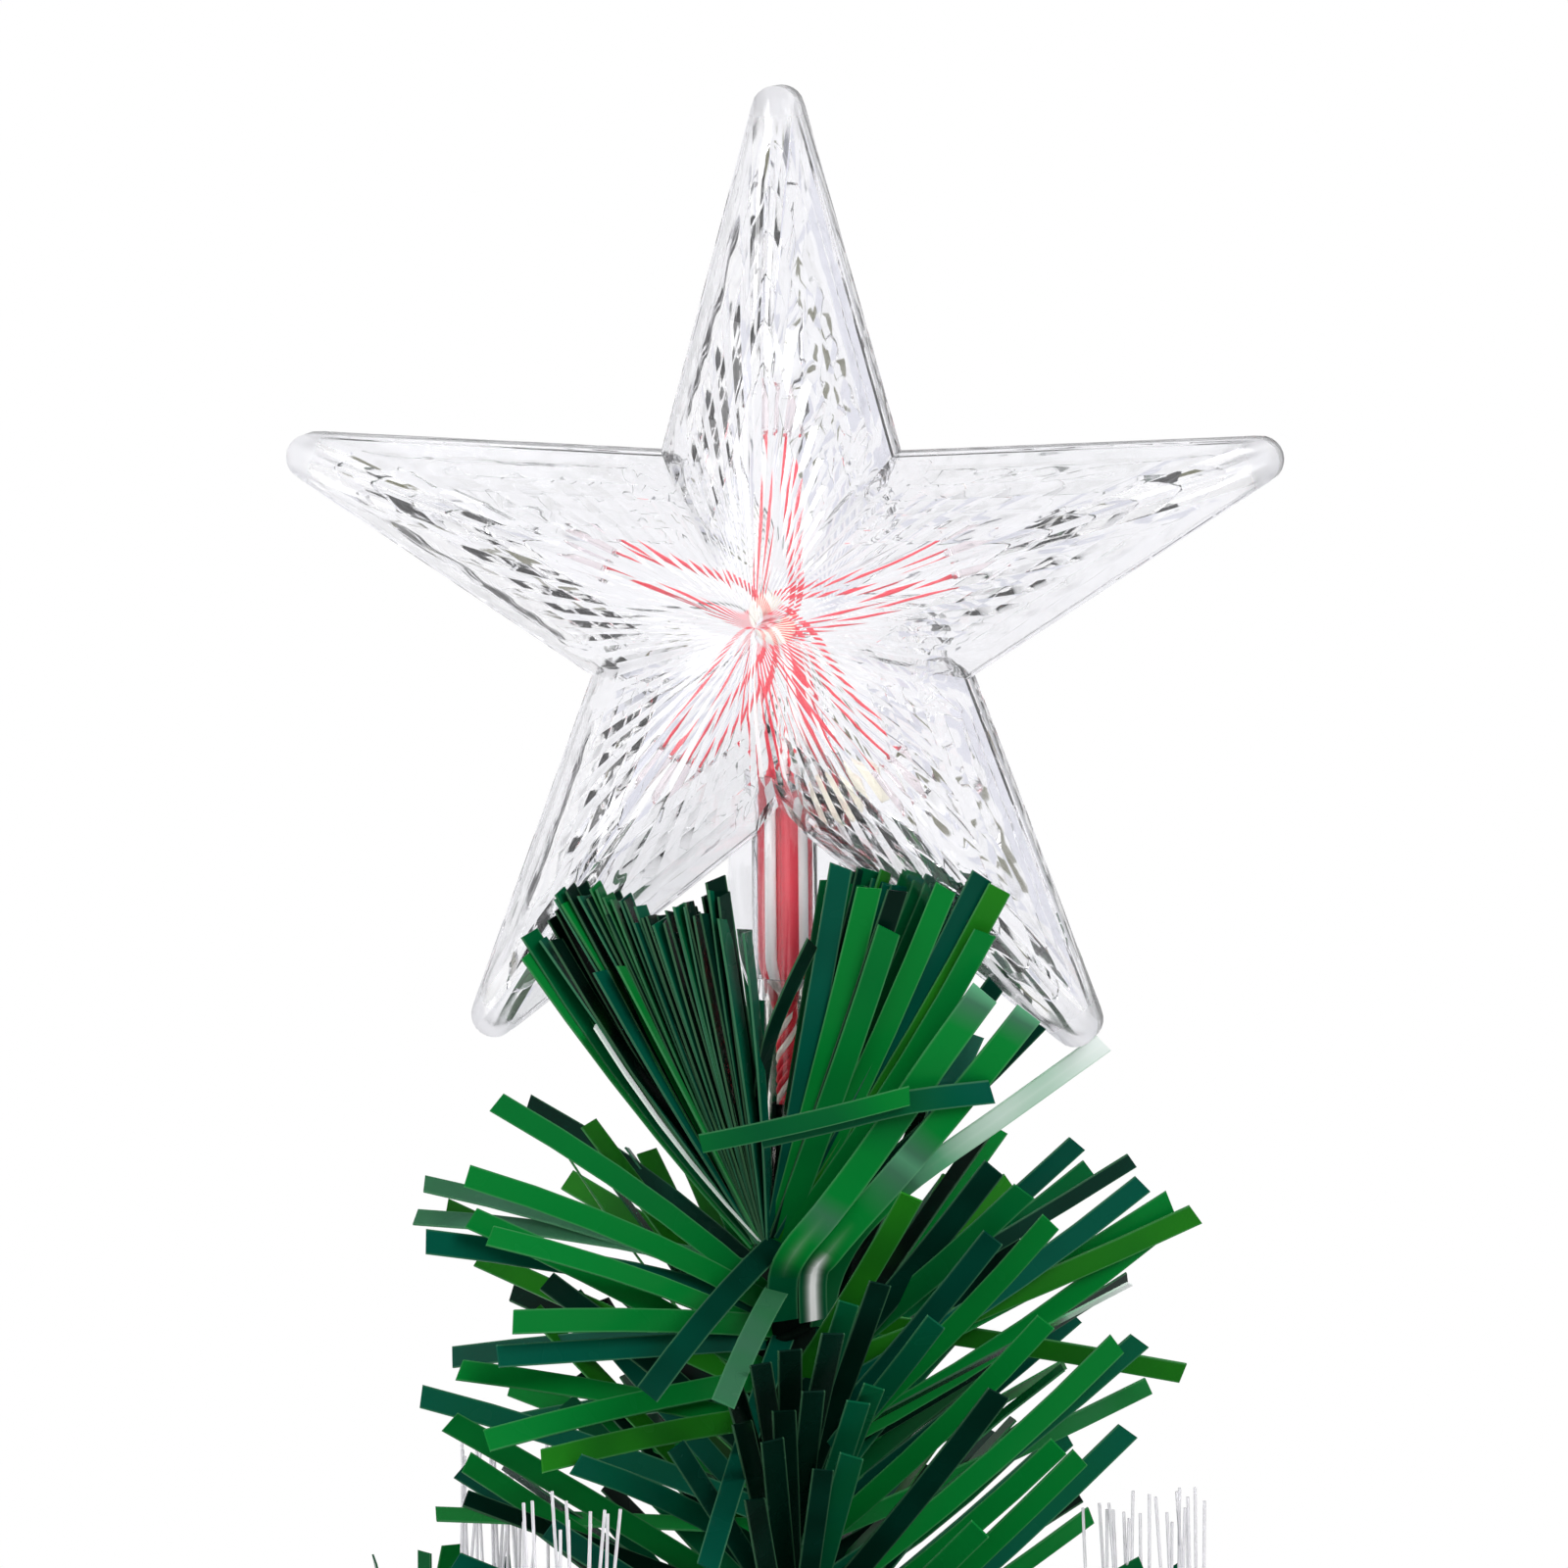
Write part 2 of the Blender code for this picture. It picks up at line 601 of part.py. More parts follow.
def make_jack(material):
    """Inlet for the adapter at the back of the base, with the pin in its bore."""
    face = BASE_RADIUS + JACK_STAND_OUT
    inner_wall = BASE_RADIUS - BASE_WALL - JACK_WALL_GAP
    bore_floor = face - JACK_BORE_DEPTH
    profile = [
        (0, face - JACK_PIN_SHORT),
        (JACK_PIN_RADIUS, face - JACK_PIN_SHORT),
        (JACK_PIN_RADIUS, bore_floor),
        (JACK_BORE_RADIUS, bore_floor),
        (JACK_BORE_RADIUS, face),
        (JACK_BARREL_RADIUS, face),
        (JACK_BARREL_RADIUS, inner_wall),
        (JACK_FLANGE_RADIUS, inner_wall),
        (JACK_FLANGE_RADIUS, inner_wall - JACK_FLANGE_THICKNESS),
        (JACK_BARREL_RADIUS, inner_wall - JACK_FLANGE_THICKNESS),
        (JACK_BARREL_RADIUS, face - JACK_LENGTH),
        (0, face - JACK_LENGTH),
    ]
    bm = turned(profile, SMALL_STEPS)
    bmesh.ops.rotate(bm, verts=bm.verts, matrix=Matrix.Rotation(-math.pi / 2, 3, "X"))
    mesh = to_mesh("dc_jack", bm, material)
    place("dc_jack", mesh, location=(0, 0, FITTING_HEIGHT))


def make_switch(housing_material, rocker_material):
    """Rocker switch through the side of the base. X points out of the base."""
    back = BASE_RADIUS + GAP
    face = back + SWITCH_FLANGE_THICKNESS
    half_width = SWITCH_WIDTH / 2
    half_height = SWITCH_HEIGHT / 2
    body = block((face - SWITCH_DEPTH, -half_width, -half_height), (face, half_width, half_height))
    housing_mesh = to_mesh("switch_housing", body, housing_material)
    frame = place("switch_frame", None, location=(0, 0, FITTING_HEIGHT), turn=SWITCH_AZIMUTH)
    housing = place("switch_housing", housing_mesh, parent=frame)
    flange = block(
        (back, -half_width - SWITCH_FLANGE, -half_height - SWITCH_FLANGE),
        (face, half_width + SWITCH_FLANGE, half_height + SWITCH_FLANGE),
    )
    add_boolean(housing, flange, "UNION")
    pocket_width = half_width - SWITCH_WALL
    pocket_height = half_height - SWITCH_WALL
    pocket = block(
        (face - SWITCH_POCKET_DEPTH, -pocket_width, -pocket_height),
        (face + OVERRUN, pocket_width, pocket_height),
    )
    add_boolean(housing, pocket, "DIFFERENCE")

    outline = [
        (-ROCKER_DROP, -ROCKER_HALF_FOOT),
        (ROCKER_RISE, -ROCKER_HALF_HEIGHT),
        (ROCKER_DIP, 0),
        (ROCKER_RISE, ROCKER_HALF_HEIGHT),
        (-ROCKER_DROP, ROCKER_HALF_FOOT),
    ]
    width = 2 * (pocket_width - GAP)
    bm = prism(outline, -width / 2, width)
    bmesh.ops.rotate(bm, verts=bm.verts, matrix=Matrix.Rotation(math.pi / 2, 3, "X"))
    bmesh.ops.rotate(bm, verts=bm.verts, matrix=Matrix.Rotation(-ROCKER_TILT, 3, "Y"))
    rocker_mesh = to_mesh("switch_rocker", bm, rocker_material)
    pivot = (face - ROCKER_PIVOT_DEPTH, 0, 0)
    place("switch_rocker", rocker_mesh, parent=frame, location=pivot)


def make_clamp_screw(material):
    """Thumb screw through the neck, with a fluted knob. It points at the trunk along -X."""
    tip = -TRUNK_RADIUS - GAP
    knob_back = -NECK_RADIUS - CLAMP_KNOB_GAP
    outline = []
    for index in range(2 * KNOB_FLUTES):
        share = KNOB_FLUTE_SHARE if index % 2 else 1
        outline.append(polar(CLAMP_KNOB_RADIUS * share, math.pi * index / KNOB_FLUTES))
    bm = prism(outline, knob_back - CLAMP_KNOB_THICKNESS, CLAMP_KNOB_THICKNESS)
    bmesh.ops.rotate(bm, verts=bm.verts, matrix=Matrix.Rotation(math.pi / 2, 3, "Y"))
    mesh = to_mesh("clamp_screw", bm, material)
    screw = place("clamp_screw", mesh, location=(0, 0, CLAMP_HEIGHT))
    shank = rod((knob_back - CLAMP_KNOB_THICKNESS / 2, 0, 0), (tip, 0, 0), CLAMP_RADIUS, SMALL_STEPS)
    add_boolean(screw, shank, "UNION")


# Trunk


def make_ferrule(parent, material):
    """Flanged ring that holds the foot of the bundle in the end of the trunk."""
    bore = BUNDLE_RADIUS + GAP
    flange_top = FERRULE_FOOT + FERRULE_FLANGE_HEIGHT
    plug_top = flange_top + FERRULE_PLUG_HEIGHT
    profile = [
        (bore, plug_top),
        (TRUNK_BORE - GAP, plug_top),
        (TRUNK_BORE - GAP, flange_top),
        (TRUNK_RADIUS, flange_top),
        (TRUNK_RADIUS, FERRULE_FOOT),
        (bore, FERRULE_FOOT),
    ]
    place("fibre_ferrule", to_mesh("fibre_ferrule", turned(profile, ROUND_STEPS), material), parent)


def window_foot(tier):
    """Height of the lower edge of a tier's fibre windows."""
    return TIER_HEIGHTS[tier] + COLLAR_HEIGHT / 2 + WINDOW_LIFT


def make_trunk(parent, material):
    """Hollow trunk with a window above each collar where its fibres come out."""
    profile = [
        (TRUNK_RADIUS, TRUNK_TOP),
        (TRUNK_RADIUS, TRUNK_FOOT),
        (TRUNK_BORE, TRUNK_FOOT),
        (TRUNK_BORE, TRUNK_TOP),
    ]
    trunk = place("trunk_tube", to_mesh("trunk_tube", turned(profile, ROUND_STEPS), material), parent)
    windows = bmesh.new()
    for tier, count in enumerate(TIER_COUNTS):
        foot = window_foot(tier)
        half_width = WINDOW_WIDTH / 2
        window = block(
            (TRUNK_BORE - OVERRUN, -half_width, foot),
            (TRUNK_RADIUS + OVERRUN, half_width, foot + WINDOW_HEIGHT),
        )
        ring = copies_round(window, count, first=TIER_AZIMUTHS[tier])
        stamp(windows, ring, Matrix())
        ring.free()
    add_boolean(trunk, windows, "DIFFERENCE")


def make_bundle(parent, material):
    """Fibre bundle that steps thinner at each tier, with a passage for the wires."""
    top = POLE_FOOT - POLE_PLUG_LENGTH - BUNDLE_TOP_GAP
    outer = [(BUNDLE_RADIUS, FERRULE_FOOT)]
    radii = [BUNDLE_RADIUS * share for share in BUNDLE_RADIUS_SHARES]
    for tier, (below, above) in enumerate(zip(radii, radii[1:])):
        foot = window_foot(tier)
        outer.append((below, foot))
        outer.append((above, foot + BUNDLE_TAPER_LENGTH))
    outer.append((radii[-1], top))
    profile = [(BUNDLE_BORE_RADIUS, FERRULE_FOOT), *outer, (BUNDLE_BORE_RADIUS, top)]
    mesh = to_mesh("fibre_bundle", turned(profile, SMALL_STEPS), material)
    place("fibre_bundle", mesh, parent)


def collar_outline(count, first):
    """Ring with a pair of ears and a flat stop face at each branch, walked round once."""
    inner = ARM_WIDTH / 2 + ARM_SIDE_CLEARANCE
    outer = inner + EAR_THICKNESS
    reach = TRUNK_RADIUS + EAR_REACH
    root = math.sqrt(COLLAR_RADIUS**2 - outer**2)
    half_angle = math.asin(outer / COLLAR_RADIUS)
    between = math.tau / count - 2 * half_angle
    arc_steps = max(1, round(between / COLLAR_ARC))
    points = []
    for index in range(count):
        azimuth = first + math.tau * index / count
        corners = [(root, -outer), (reach, -outer), (reach, -inner), (COLLAR_RADIUS, -inner)]
        corners += [(x, -y) for x, y in reversed(corners)]
        turn = Matrix.Rotation(azimuth, 2)
        points += [tuple(turn @ Vector(corner)) for corner in corners]
        for step in range(1, arc_steps):
            angle = azimuth + half_angle + between * step / arc_steps
            points.append(polar(COLLAR_RADIUS, angle))
    return points


def make_collar(tier, parent, material):
    """Collar of one tier: ring, hinge ears with rounded ends, and the fused pins."""
    count = TIER_COUNTS[tier]
    first = TIER_AZIMUTHS[tier]
    name = f"collar_{tier + 1}"
    half_height = COLLAR_HEIGHT / 2
    bm = prism(collar_outline(count, first), -half_height, COLLAR_HEIGHT)
    reach = TRUNK_RADIUS + EAR_REACH
    ends = [edge for edge in bm.edges if is_ear_end(edge, reach, half_height)]
    bmesh.ops.bevel(
        bm,
        geom=ends,
        offset=EAR_ROUNDING,
        segments=EAR_ROUNDING_STEPS,
        profile=0.5,
        affect="EDGES",
    )
    height = TIER_HEIGHTS[tier]
    collar = place(name, to_mesh(name, bm, material), parent, location=(0, 0, height))
    half_pin = ARM_WIDTH / 2 + ARM_SIDE_CLEARANCE + EAR_THICKNESS / 2
    pin = rod((0, -half_pin, 0), (0, half_pin, 0), HINGE_PIN_RADIUS, PIN_STEPS)
    add_boolean(collar, copies_round(pin, count, first, radius=HINGE_RADIUS), "UNION")
    bore = rod((0, 0, -COLLAR_HEIGHT), (0, 0, COLLAR_HEIGHT), COLLAR_BORE, ROUND_STEPS)
    add_boolean(collar, bore, "DIFFERENCE")


def is_ear_end(edge, reach, half_height):
    """True for a level edge across the outer end of an ear."""
    level = all(abs(abs(vert.co.z) - half_height) < WELD for vert in edge.verts)
    outside = all(vert.co.xy.length > reach - WELD for vert in edge.verts)
    return level and outside and edge.calc_length() < EAR_THICKNESS + WELD


# Branches


def branch_direction(angle):
    """Direction of a branch in its own frame, where X points away from the trunk."""
    return Vector((math.cos(angle), 0, math.sin(angle)))


def arm_outline(angle):
    """Side view of the hinge fitting as (x, z) points round the hinge axis."""
    along = branch_direction(angle)
    across = Vector((-along.z, 0, along.x))
    shank = [along * ARM_SHANK_REACH + across * side * ARM_WIRE_RADIUS for side in (-1, 1)]
    stop = -(HINGE_RADIUS - COLLAR_RADIUS - GAP)
    upper = [angle + turn for turn in ARM_UPPER_TURNS]
    back = list(ARM_BACK_TURNS)
    lower = [*ARM_LOWER_TURNS, angle - ARM_UPPER_TURNS[0]]
    points = [(shank[1].x, shank[1].z)]
    points += [polar(ARM_EYE_RADIUS, turn) for turn in upper + back]
    points += [(stop, -ARM_STOP_TOP), (stop, -ARM_STOP_FOOT)]
    points += [polar(ARM_EYE_RADIUS, turn) for turn in lower]
    points.append((shank[0].x, shank[0].z))
    return points


def make_arm_mesh(tier, material):
    """Hinge fitting with its eye and stop, and the bare taped wire of the branch."""
    angle = TIER_ANGLES[tier]
    half_width = ARM_WIDTH / 2
    hole = HINGE_PIN_RADIUS + GAP
    bm = bmesh.new()
    outline = arm_outline(angle)
    outer = [bm.verts.new((x, -half_width, z)) for x, z in outline]
    inner = []
    for x, z in outline:
        eye_x, eye_z = polar(hole, math.atan2(z, x))
        inner.append(bm.verts.new((eye_x, -half_width, eye_z)))
    for index in range(len(outline)):
        corners = (outer[index - 1], outer[index], inner[index], inner[index - 1])
        bm.faces.new(corners)
    raised = bmesh.ops.extrude_face_region(bm, geom=bm.faces[:])["geom"]
    verts = [item for item in raised if isinstance(item, bmesh.types.BMVert)]
    bmesh.ops.translate(bm, verts=verts, vec=(0, ARM_WIDTH, 0))
    name = f"branch_arm_{tier + 1}"
    arm = place(name, to_mesh(name, bm, material))
    along = branch_direction(angle)
    start = along * (ARM_SHANK_REACH - ARM_WIRE_RADIUS)
    end = along * (ARM_SHARE * TIER_REACHES[tier])
    add_boolean(arm, rod(start, end, ARM_WIRE_RADIUS, PIN_STEPS), "UNION")
    return bake(arm)


def push_face(bm, face, centre, direction, side, width, thickness):
    """Extrude a four-sided face to a rectangle square to a direction, and return its cap.

    The width lies along the side vector, and each corner goes where it turns the least.
    """
    side = (side - direction * side.dot(direction)).normalized()
    rise = direction.cross(side)
    cap = bmesh.ops.extrude_discrete_faces(bm, faces=[face])["faces"][0]
    corners = [loop.vert for loop in cap.loops]
    edges = [corners[index].co - corners[index - 1].co for index in range(4)]
    first = max(range(4), key=lambda index: edges[index].normalized().dot(side)) - 1
    corners = [corners[(first + index) % 4] for index in range(4)]
    signs = ((-1, -1), (1, -1), (1, 1), (-1, 1))
    for vert, (along, across) in zip(corners, signs):
        vert.co = centre + side * along * width / 2 + rise * across * thickness / 2
    return cap


def side_faces(cap):
    """Faces that meet a cap face along its edges."""
    return [face for edge in cap.edges for face in edge.link_faces if face is not cap]


def push_core(bm, cap, centre, direction):
    """Lengthen a twig's square core to a centre, with its corners up, down and to the sides."""
    level = Vector((0, 0, 1)).cross(direction).normalized()
    diagonal = level + direction.cross(level)
    return push_face(bm, cap, centre, direction, diagonal, TWIG_WIDTH, TWIG_WIDTH)


def push_needle(bm, face, axis):
    """Grow a needle strip from a side face of a core, leaning along the core's axis."""
    root = face.calc_center_median()
    direction = axis * math.cos(NEEDLE_LEAN) + face.normal * math.sin(NEEDLE_LEAN)
    direction.normalize()
    tip = root + direction * NEEDLE_LENGTH
    push_face(bm, face, tip, direction, axis, NEEDLE_WIDTH, NEEDLE_THICKNESS)


def push_fibre(bm, cap, heading):
    """Grow a nearly upright fibre from the end of a twig."""
    level = Vector((heading.x, heading.y, 0)).normalized()
    direction = level * math.sin(FIBRE_LEAN) + Vector((0, 0, math.cos(FIBRE_LEAN)))
    tip = cap.calc_center_median() + direction * FIBRE_LENGTH
    push_face(bm, cap, tip, direction, level, FIBRE_WIDTH, FIBRE_WIDTH)


def push_ring(bm, cap, axis):
    """Short piece of core with a needle on each side, then the end of the twig."""
    centre = cap.calc_center_median() + axis * NEEDLE_WIDTH
    cap = push_core(bm, cap, centre, axis)
    for face in side_faces(cap):
        face.normal_update()
        push_needle(bm, face, axis)
    return push_core(bm, cap, centre + axis * TWIG_END, axis)


def grow_twig(bm, face, start, axis, length):
    """Side twig from an upper face of the branch's core."""
    cap = push_core(bm, face, start + axis * (length * TWIG_RING_SHARE), axis)
    cap = push_ring(bm, cap, axis)
    push_fibre(bm, cap, axis)


def make_brush_mesh(tier, material):
    """Needled part of a branch: a forked core with needle strips and fibres grown from it."""
    reach = TIER_REACHES[tier]
    angle = TIER_ANGLES[tier]
    axis = branch_direction(angle)
    upright = Vector((-axis.z, 0, axis.x))
    sideways = Vector((0, 1, 0))
    start = axis * (ARM_SHARE * reach + GAP)

    def core_point(share):
        """Point on the branch's core, which lifts toward its tip."""
        past = (share - ARM_SHARE) / (1 - ARM_SHARE)
        return axis * (share * reach) + upright * (TIP_LIFT_SHARE * reach * past**2)

    bm = bmesh.new()
    diagonals = [upright, sideways, -upright, -sideways]
    corners = [bm.verts.new(start + way * TWIG_WIDTH / math.sqrt(2)) for way in diagonals]
    root = bm.faces.new(corners)
    raised = bmesh.ops.extrude_face_region(bm, geom=[root])["geom"]
    verts = [item for item in raised if isinstance(item, bmesh.types.BMVert)]
    bmesh.ops.translate(bm, verts=verts, vec=axis * TWIG_END)
    bmesh.ops.recalc_face_normals(bm, faces=bm.faces)
    cap = max(bm.faces, key=lambda face: face.normal.dot(axis))

    for index, (fork_share, twig_share) in enumerate(TIER_FORK_SHARES[tier]):
        point = core_point(fork_share)
        heading = (point - cap.calc_center_median()).normalized()
        cap = push_core(bm, cap, point, heading)
        centre = point + heading * NEEDLE_WIDTH
        cap = push_core(bm, cap, centre, heading)
        for face in side_faces(cap):
            face.normal_update()
            if face.normal.dot(upright) > 0:
                side = math.copysign(1, face.normal.y)
                turn = Matrix.Rotation(side * FORK_ANGLE, 3, upright)
                twig_axis = (turn @ heading + upright * FORK_LIFT_SHARE).normalized()
                grow_twig(bm, face, centre, twig_axis, twig_share * reach)
            elif index == 0:
                push_needle(bm, face, heading)
    point = core_point(RING_SHARE)
    heading = (point - cap.calc_center_median()).normalized()
    cap = push_core(bm, cap, point, heading)
    cap = push_ring(bm, cap, heading)
    push_fibre(bm, cap, heading)
    return to_mesh(f"branch_brush_{tier + 1}", bm, material)


def make_branches(tier, parent, materials):
    """Hinged branches of one tier, each on an empty at its hinge."""
    arm_mesh = make_arm_mesh(tier, materials["wire"])
    brush_mesh = make_brush_mesh(tier, materials["needles"])
    count = TIER_COUNTS[tier]
    for index in range(count):
        azimuth = TIER_AZIMUTHS[tier] + math.tau * index / count
        x, y = polar(HINGE_RADIUS, azimuth)
        label = f"{tier + 1}_{index + 1}"
        location = (x, y, TIER_HEIGHTS[tier])
        hinge = place(f"hinge_{label}", None, parent, location, azimuth)
        place(f"branch_arm_{label}", arm_mesh, hinge)
        place(f"branch_brush_{label}", brush_mesh, hinge)


# Top of the tree


def make_top_pole(parent, material):
    """Pole with a plug in the trunk, a flange on its rim and a thin tip for the stem tube."""
    plug = TRUNK_BORE - GAP
    flange_top = POLE_FOOT + POLE_FLANGE_THICKNESS
    profile = [
        (POLE_BORE_RADIUS, POLE_TOP),
        (POLE_TIP_RADIUS, POLE_TOP),
        (POLE_TIP_RADIUS, POLE_SHOULDER),
        (POLE_RADIUS, POLE_SHOULDER),
        (POLE_RADIUS, flange_top),
        (POLE_FLANGE_RADIUS, flange_top),
        (POLE_FLANGE_RADIUS, POLE_FOOT),
        (plug, POLE_FOOT),
        (plug, POLE_FOOT - POLE_PLUG_LENGTH),
        (POLE_BORE_RADIUS, POLE_FOOT - POLE_PLUG_LENGTH),
    ]
    place("top_pole", to_mesh("top_pole", turned(profile, SMALL_STEPS), material), parent)


def brush_row_feet():
    """Lower edges of the needle rows on the brush's core, and of the crown rows above them."""
    foot = POLE_FOOT + POLE_FLANGE_THICKNESS + BRUSH_FOOT_GAP
    top = POLE_SHOULDER - CROWN_ROW_GAP
    crown = [
        top - (row + 1) * (NEEDLE_WIDTH + CROWN_ROW_GAP) + CROWN_ROW_GAP
        for row in reversed(range(CROWN_ROWS))
    ]
    spacing = (crown[0] - foot) / (BRUSH_ROWS + 1)
    return [foot + spacing * (2 * row + 1) / 2 for row in range(BRUSH_ROWS)], crown


def make_top_brush(parent, material):
    """Whorls of needle strips on a sleeve round the pole, with a fuller crown at its top."""
    bore = POLE_RADIUS + GAP
    rows, crown = brush_row_feet()
    foot = POLE_FOOT + POLE_FLANGE_THICKNESS + BRUSH_FOOT_GAP
    heights = [POLE_SHOULDER]
    for row_foot in reversed(rows + crown):
        heights += [row_foot + NEEDLE_WIDTH, row_foot]
    heights.append(foot - BRUSH_FOOT_GAP / 2)
    profile = [(bore, heights[0])]
    profile += [(BRUSH_CORE_RADIUS, height) for height in heights]
    profile.append((bore, heights[-1]))
    bm = turned(profile, BRUSH_FACES)
    bmesh.ops.rotate(bm, verts=bm.verts, matrix=Matrix.Rotation(math.pi / BRUSH_FACES, 3, "Z"))

    for row, row_foot in enumerate(rows):
        for index, face in enumerate(row_faces(bm, row_foot)):
            if (index + row) % 2:
                push_tilted(bm, face, BRUSH_ROW_TILTS[row], BRUSH_NEEDLE_LENGTH)
    for row, row_foot in enumerate(crown):
        for face in row_faces(bm, row_foot):
            side = abs(face.normal.y)
            tilt = CROWN_SIDE_TILT + (CROWN_FRONT_TILT - CROWN_SIDE_TILT) * side
            push_tilted(bm, face, tilt + CROWN_ROW_STEP * row, CROWN_NEEDLE_LENGTH)
    place("top_brush", to_mesh("top_brush", bm, material), parent)


def row_faces(bm, foot):
    """Outer faces of one row, in order round the core."""
    middle = foot + NEEDLE_WIDTH / 2
    found = []
    for face in bm.faces:
        centre = face.calc_center_median()
        outside = centre.xy.length > (BRUSH_CORE_RADIUS + POLE_RADIUS) / 2
        upright = face.normal.xy.length > abs(face.normal.z)
        if outside and upright and abs(centre.z - middle) < WELD:
            found.append((math.atan2(centre.y, centre.x), face))
    return [face for _, face in sorted(found, key=lambda item: item[0])]


def push_tilted(bm, face, tilt, length):
    """Grow a needle strip from the brush's core at a tilt from the level."""
    upright = Vector((0, 0, 1))
    direction = face.normal * math.cos(tilt) + upright * math.sin(tilt)
    tip = face.calc_center_median() + direction * length
    push_face(bm, face, tip, direction, upright, NEEDLE_WIDTH, NEEDLE_THICKNESS)


# Star


def star_outline():
    """Outline of the star in its plane, with the tips rounded, as (x, z) points."""
    half_arm = math.pi / STAR_POINTS
    tip = Vector((STAR_TIP_RADIUS, 0))
    notch = Vector(polar(STAR_NOTCH_RADIUS, -half_arm))
    half_tip = math.atan2(-notch.y, tip.x - notch.x)
    arc_centre = Vector((STAR_TIP_RADIUS - STAR_TIP_ROUNDING / math.sin(half_tip), 0))
    sweep = math.pi / 2 - half_tip
    arc = []
    for step in range(STAR_TIP_ARC_POINTS):
        turn = sweep * (2 * step / (STAR_TIP_ARC_POINTS - 1) - 1)
        arc.append(arc_centre + Vector(polar(STAR_TIP_ROUNDING, turn)))
    edge = [notch.lerp(arc[0], step / STAR_EDGE_STEPS) for step in range(STAR_EDGE_STEPS)]
    far_edge = [Vector((point.x, -point.y)) for point in reversed(edge[1:])]
    arm = edge + arc + far_edge
    points = []
    for index in range(STAR_POINTS):
        turn = Matrix.Rotation(math.pi / 2 + index * 2 * half_arm, 2)
        points += [turn @ point for point in arm]
    return points


def star_depth(share, column):
    """Depth of the face at a share of the way out, with every other column raised as a rib."""
    dome = (STAR_HALF_DEPTH - STAR_SIDE_DEPTH) * (1 - share**STAR_PROFILE_POWER)
    rib = STAR_RIB_HEIGHT * (1 if column % 2 else -1)
    return STAR_SIDE_DEPTH + dome + rib * 4 * share * (1 - share)


def make_star_shell_mesh(material):
    """Front half of the star: a ribbed dome with a side wall and half of the round spout."""
    outline = star_outline()
    bm = bmesh.new()
    loops = [[bm.verts.new((point.x, OVERRUN, point.y)) for point in outline]]
    for share in (1, *STAR_RING_SHARES):
        loop = []
        for column, point in enumerate(outline):
            depth = star_depth(share, column)
            loop.append(bm.verts.new((point.x * share, -depth, point.y * share)))
        loops.append(loop)
    apex = bm.verts.new((0, -STAR_HALF_DEPTH, 0))
    for low, high in zip(loops, loops[1:]):
        for index in range(len(outline)):
            bm.faces.new((low[index - 1], low[index], high[index], high[index - 1]))
    for index in range(len(outline)):
        bm.faces.new((loops[-1][index - 1], loops[-1][index], apex))
    bm.normal_update()
    if apex.normal.y > 0:
        bmesh.ops.reverse_faces(bm, faces=bm.faces)
    mesh = bpy.data.meshes.new("star_shell")
    bm.to_mesh(mesh)
    bm.free()
    mesh.materials.append(material)
    shell = place("star_shell", mesh)
    wall = shell.modifiers.new("Wall", "SOLIDIFY")
    wall.thickness = STAR_WALL
    wall.offset = -1
    wall.use_even_offset = True
    wall.use_quality_normals = True
    solid = place("star_half", bake(shell))
    foot = -STAR_NOTCH_RADIUS - SPOUT_LENGTH
    top = -STAR_NOTCH_RADIUS + SPOUT_INNER_REACH
    add_boolean(solid, rod((0, 0, foot), (0, 0, top), SPOUT_RADIUS, SMALL_STEPS), "UNION")
    add_boolean(solid, spout_bore(), "DIFFERENCE")
    reach = STAR_TIP_RADIUS + OVERRUN
    other_half = block((-reach, -GAP / 2, -reach), (reach, reach, reach))
    add_boolean(solid, other_half, "DIFFERENCE")
    return bake(solid)


def spout_bore():
    """Stepped bore: the stem tube's seat, then the narrower way in for the wires."""
    foot = -STAR_NOTCH_RADIUS - SPOUT_LENGTH - OVERRUN
    inside = -STAR_NOTCH_RADIUS + SPOUT_INNER_REACH + OVERRUN
    seat = STEM_RADIUS + GAP
    profile = [
        (0, inside),
        (WIRE_PASSAGE_RADIUS, inside),
        (WIRE_PASSAGE_RADIUS, -STAR_NOTCH_RADIUS),
        (seat, -STAR_NOTCH_RADIUS),
        (seat, foot),
        (0, foot),
    ]
    return turned(profile, SMALL_STEPS)


def make_star_lamps(parent, material):
    """Hub with a leg and a small lamp toward each arm of the star."""
    half = LAMP_HUB_THICKNESS / 2
    hub = rod((0, half, 0), (0, -half, 0), LAMP_HUB_RADIUS, 2 * STAR_POINTS)
    lamps = place("star_led_cluster", to_mesh("star_led_cluster", hub, material), parent)
    reach = STAR_LAMP_REACH
    profile = [
        (0, reach + STAR_LAMP_LENGTH / 2),
        (STAR_LAMP_RADIUS * STAR_LAMP_TIP_SHARE, reach + STAR_LAMP_LENGTH / 3),
        (STAR_LAMP_RADIUS, reach),
        (STAR_LAMP_RADIUS, reach - STAR_LAMP_LENGTH / 2),
        (STAR_LEG_RADIUS, reach - STAR_LAMP_LENGTH / 2),
        (STAR_LEG_RADIUS, LAMP_HUB_RADIUS / 2 + STAR_LEG_RADIUS),
        (0, LAMP_HUB_RADIUS / 2 + STAR_LEG_RADIUS),
    ]
    leg = turned(profile, PIN_STEPS)
    legs = bmesh.new()
    for index in range(STAR_POINTS):
        stamp(legs, leg, Matrix.Rotation(math.tau * index / STAR_POINTS, 4, "Y"))
    leg.free()
    add_boolean(lamps, legs, "UNION")


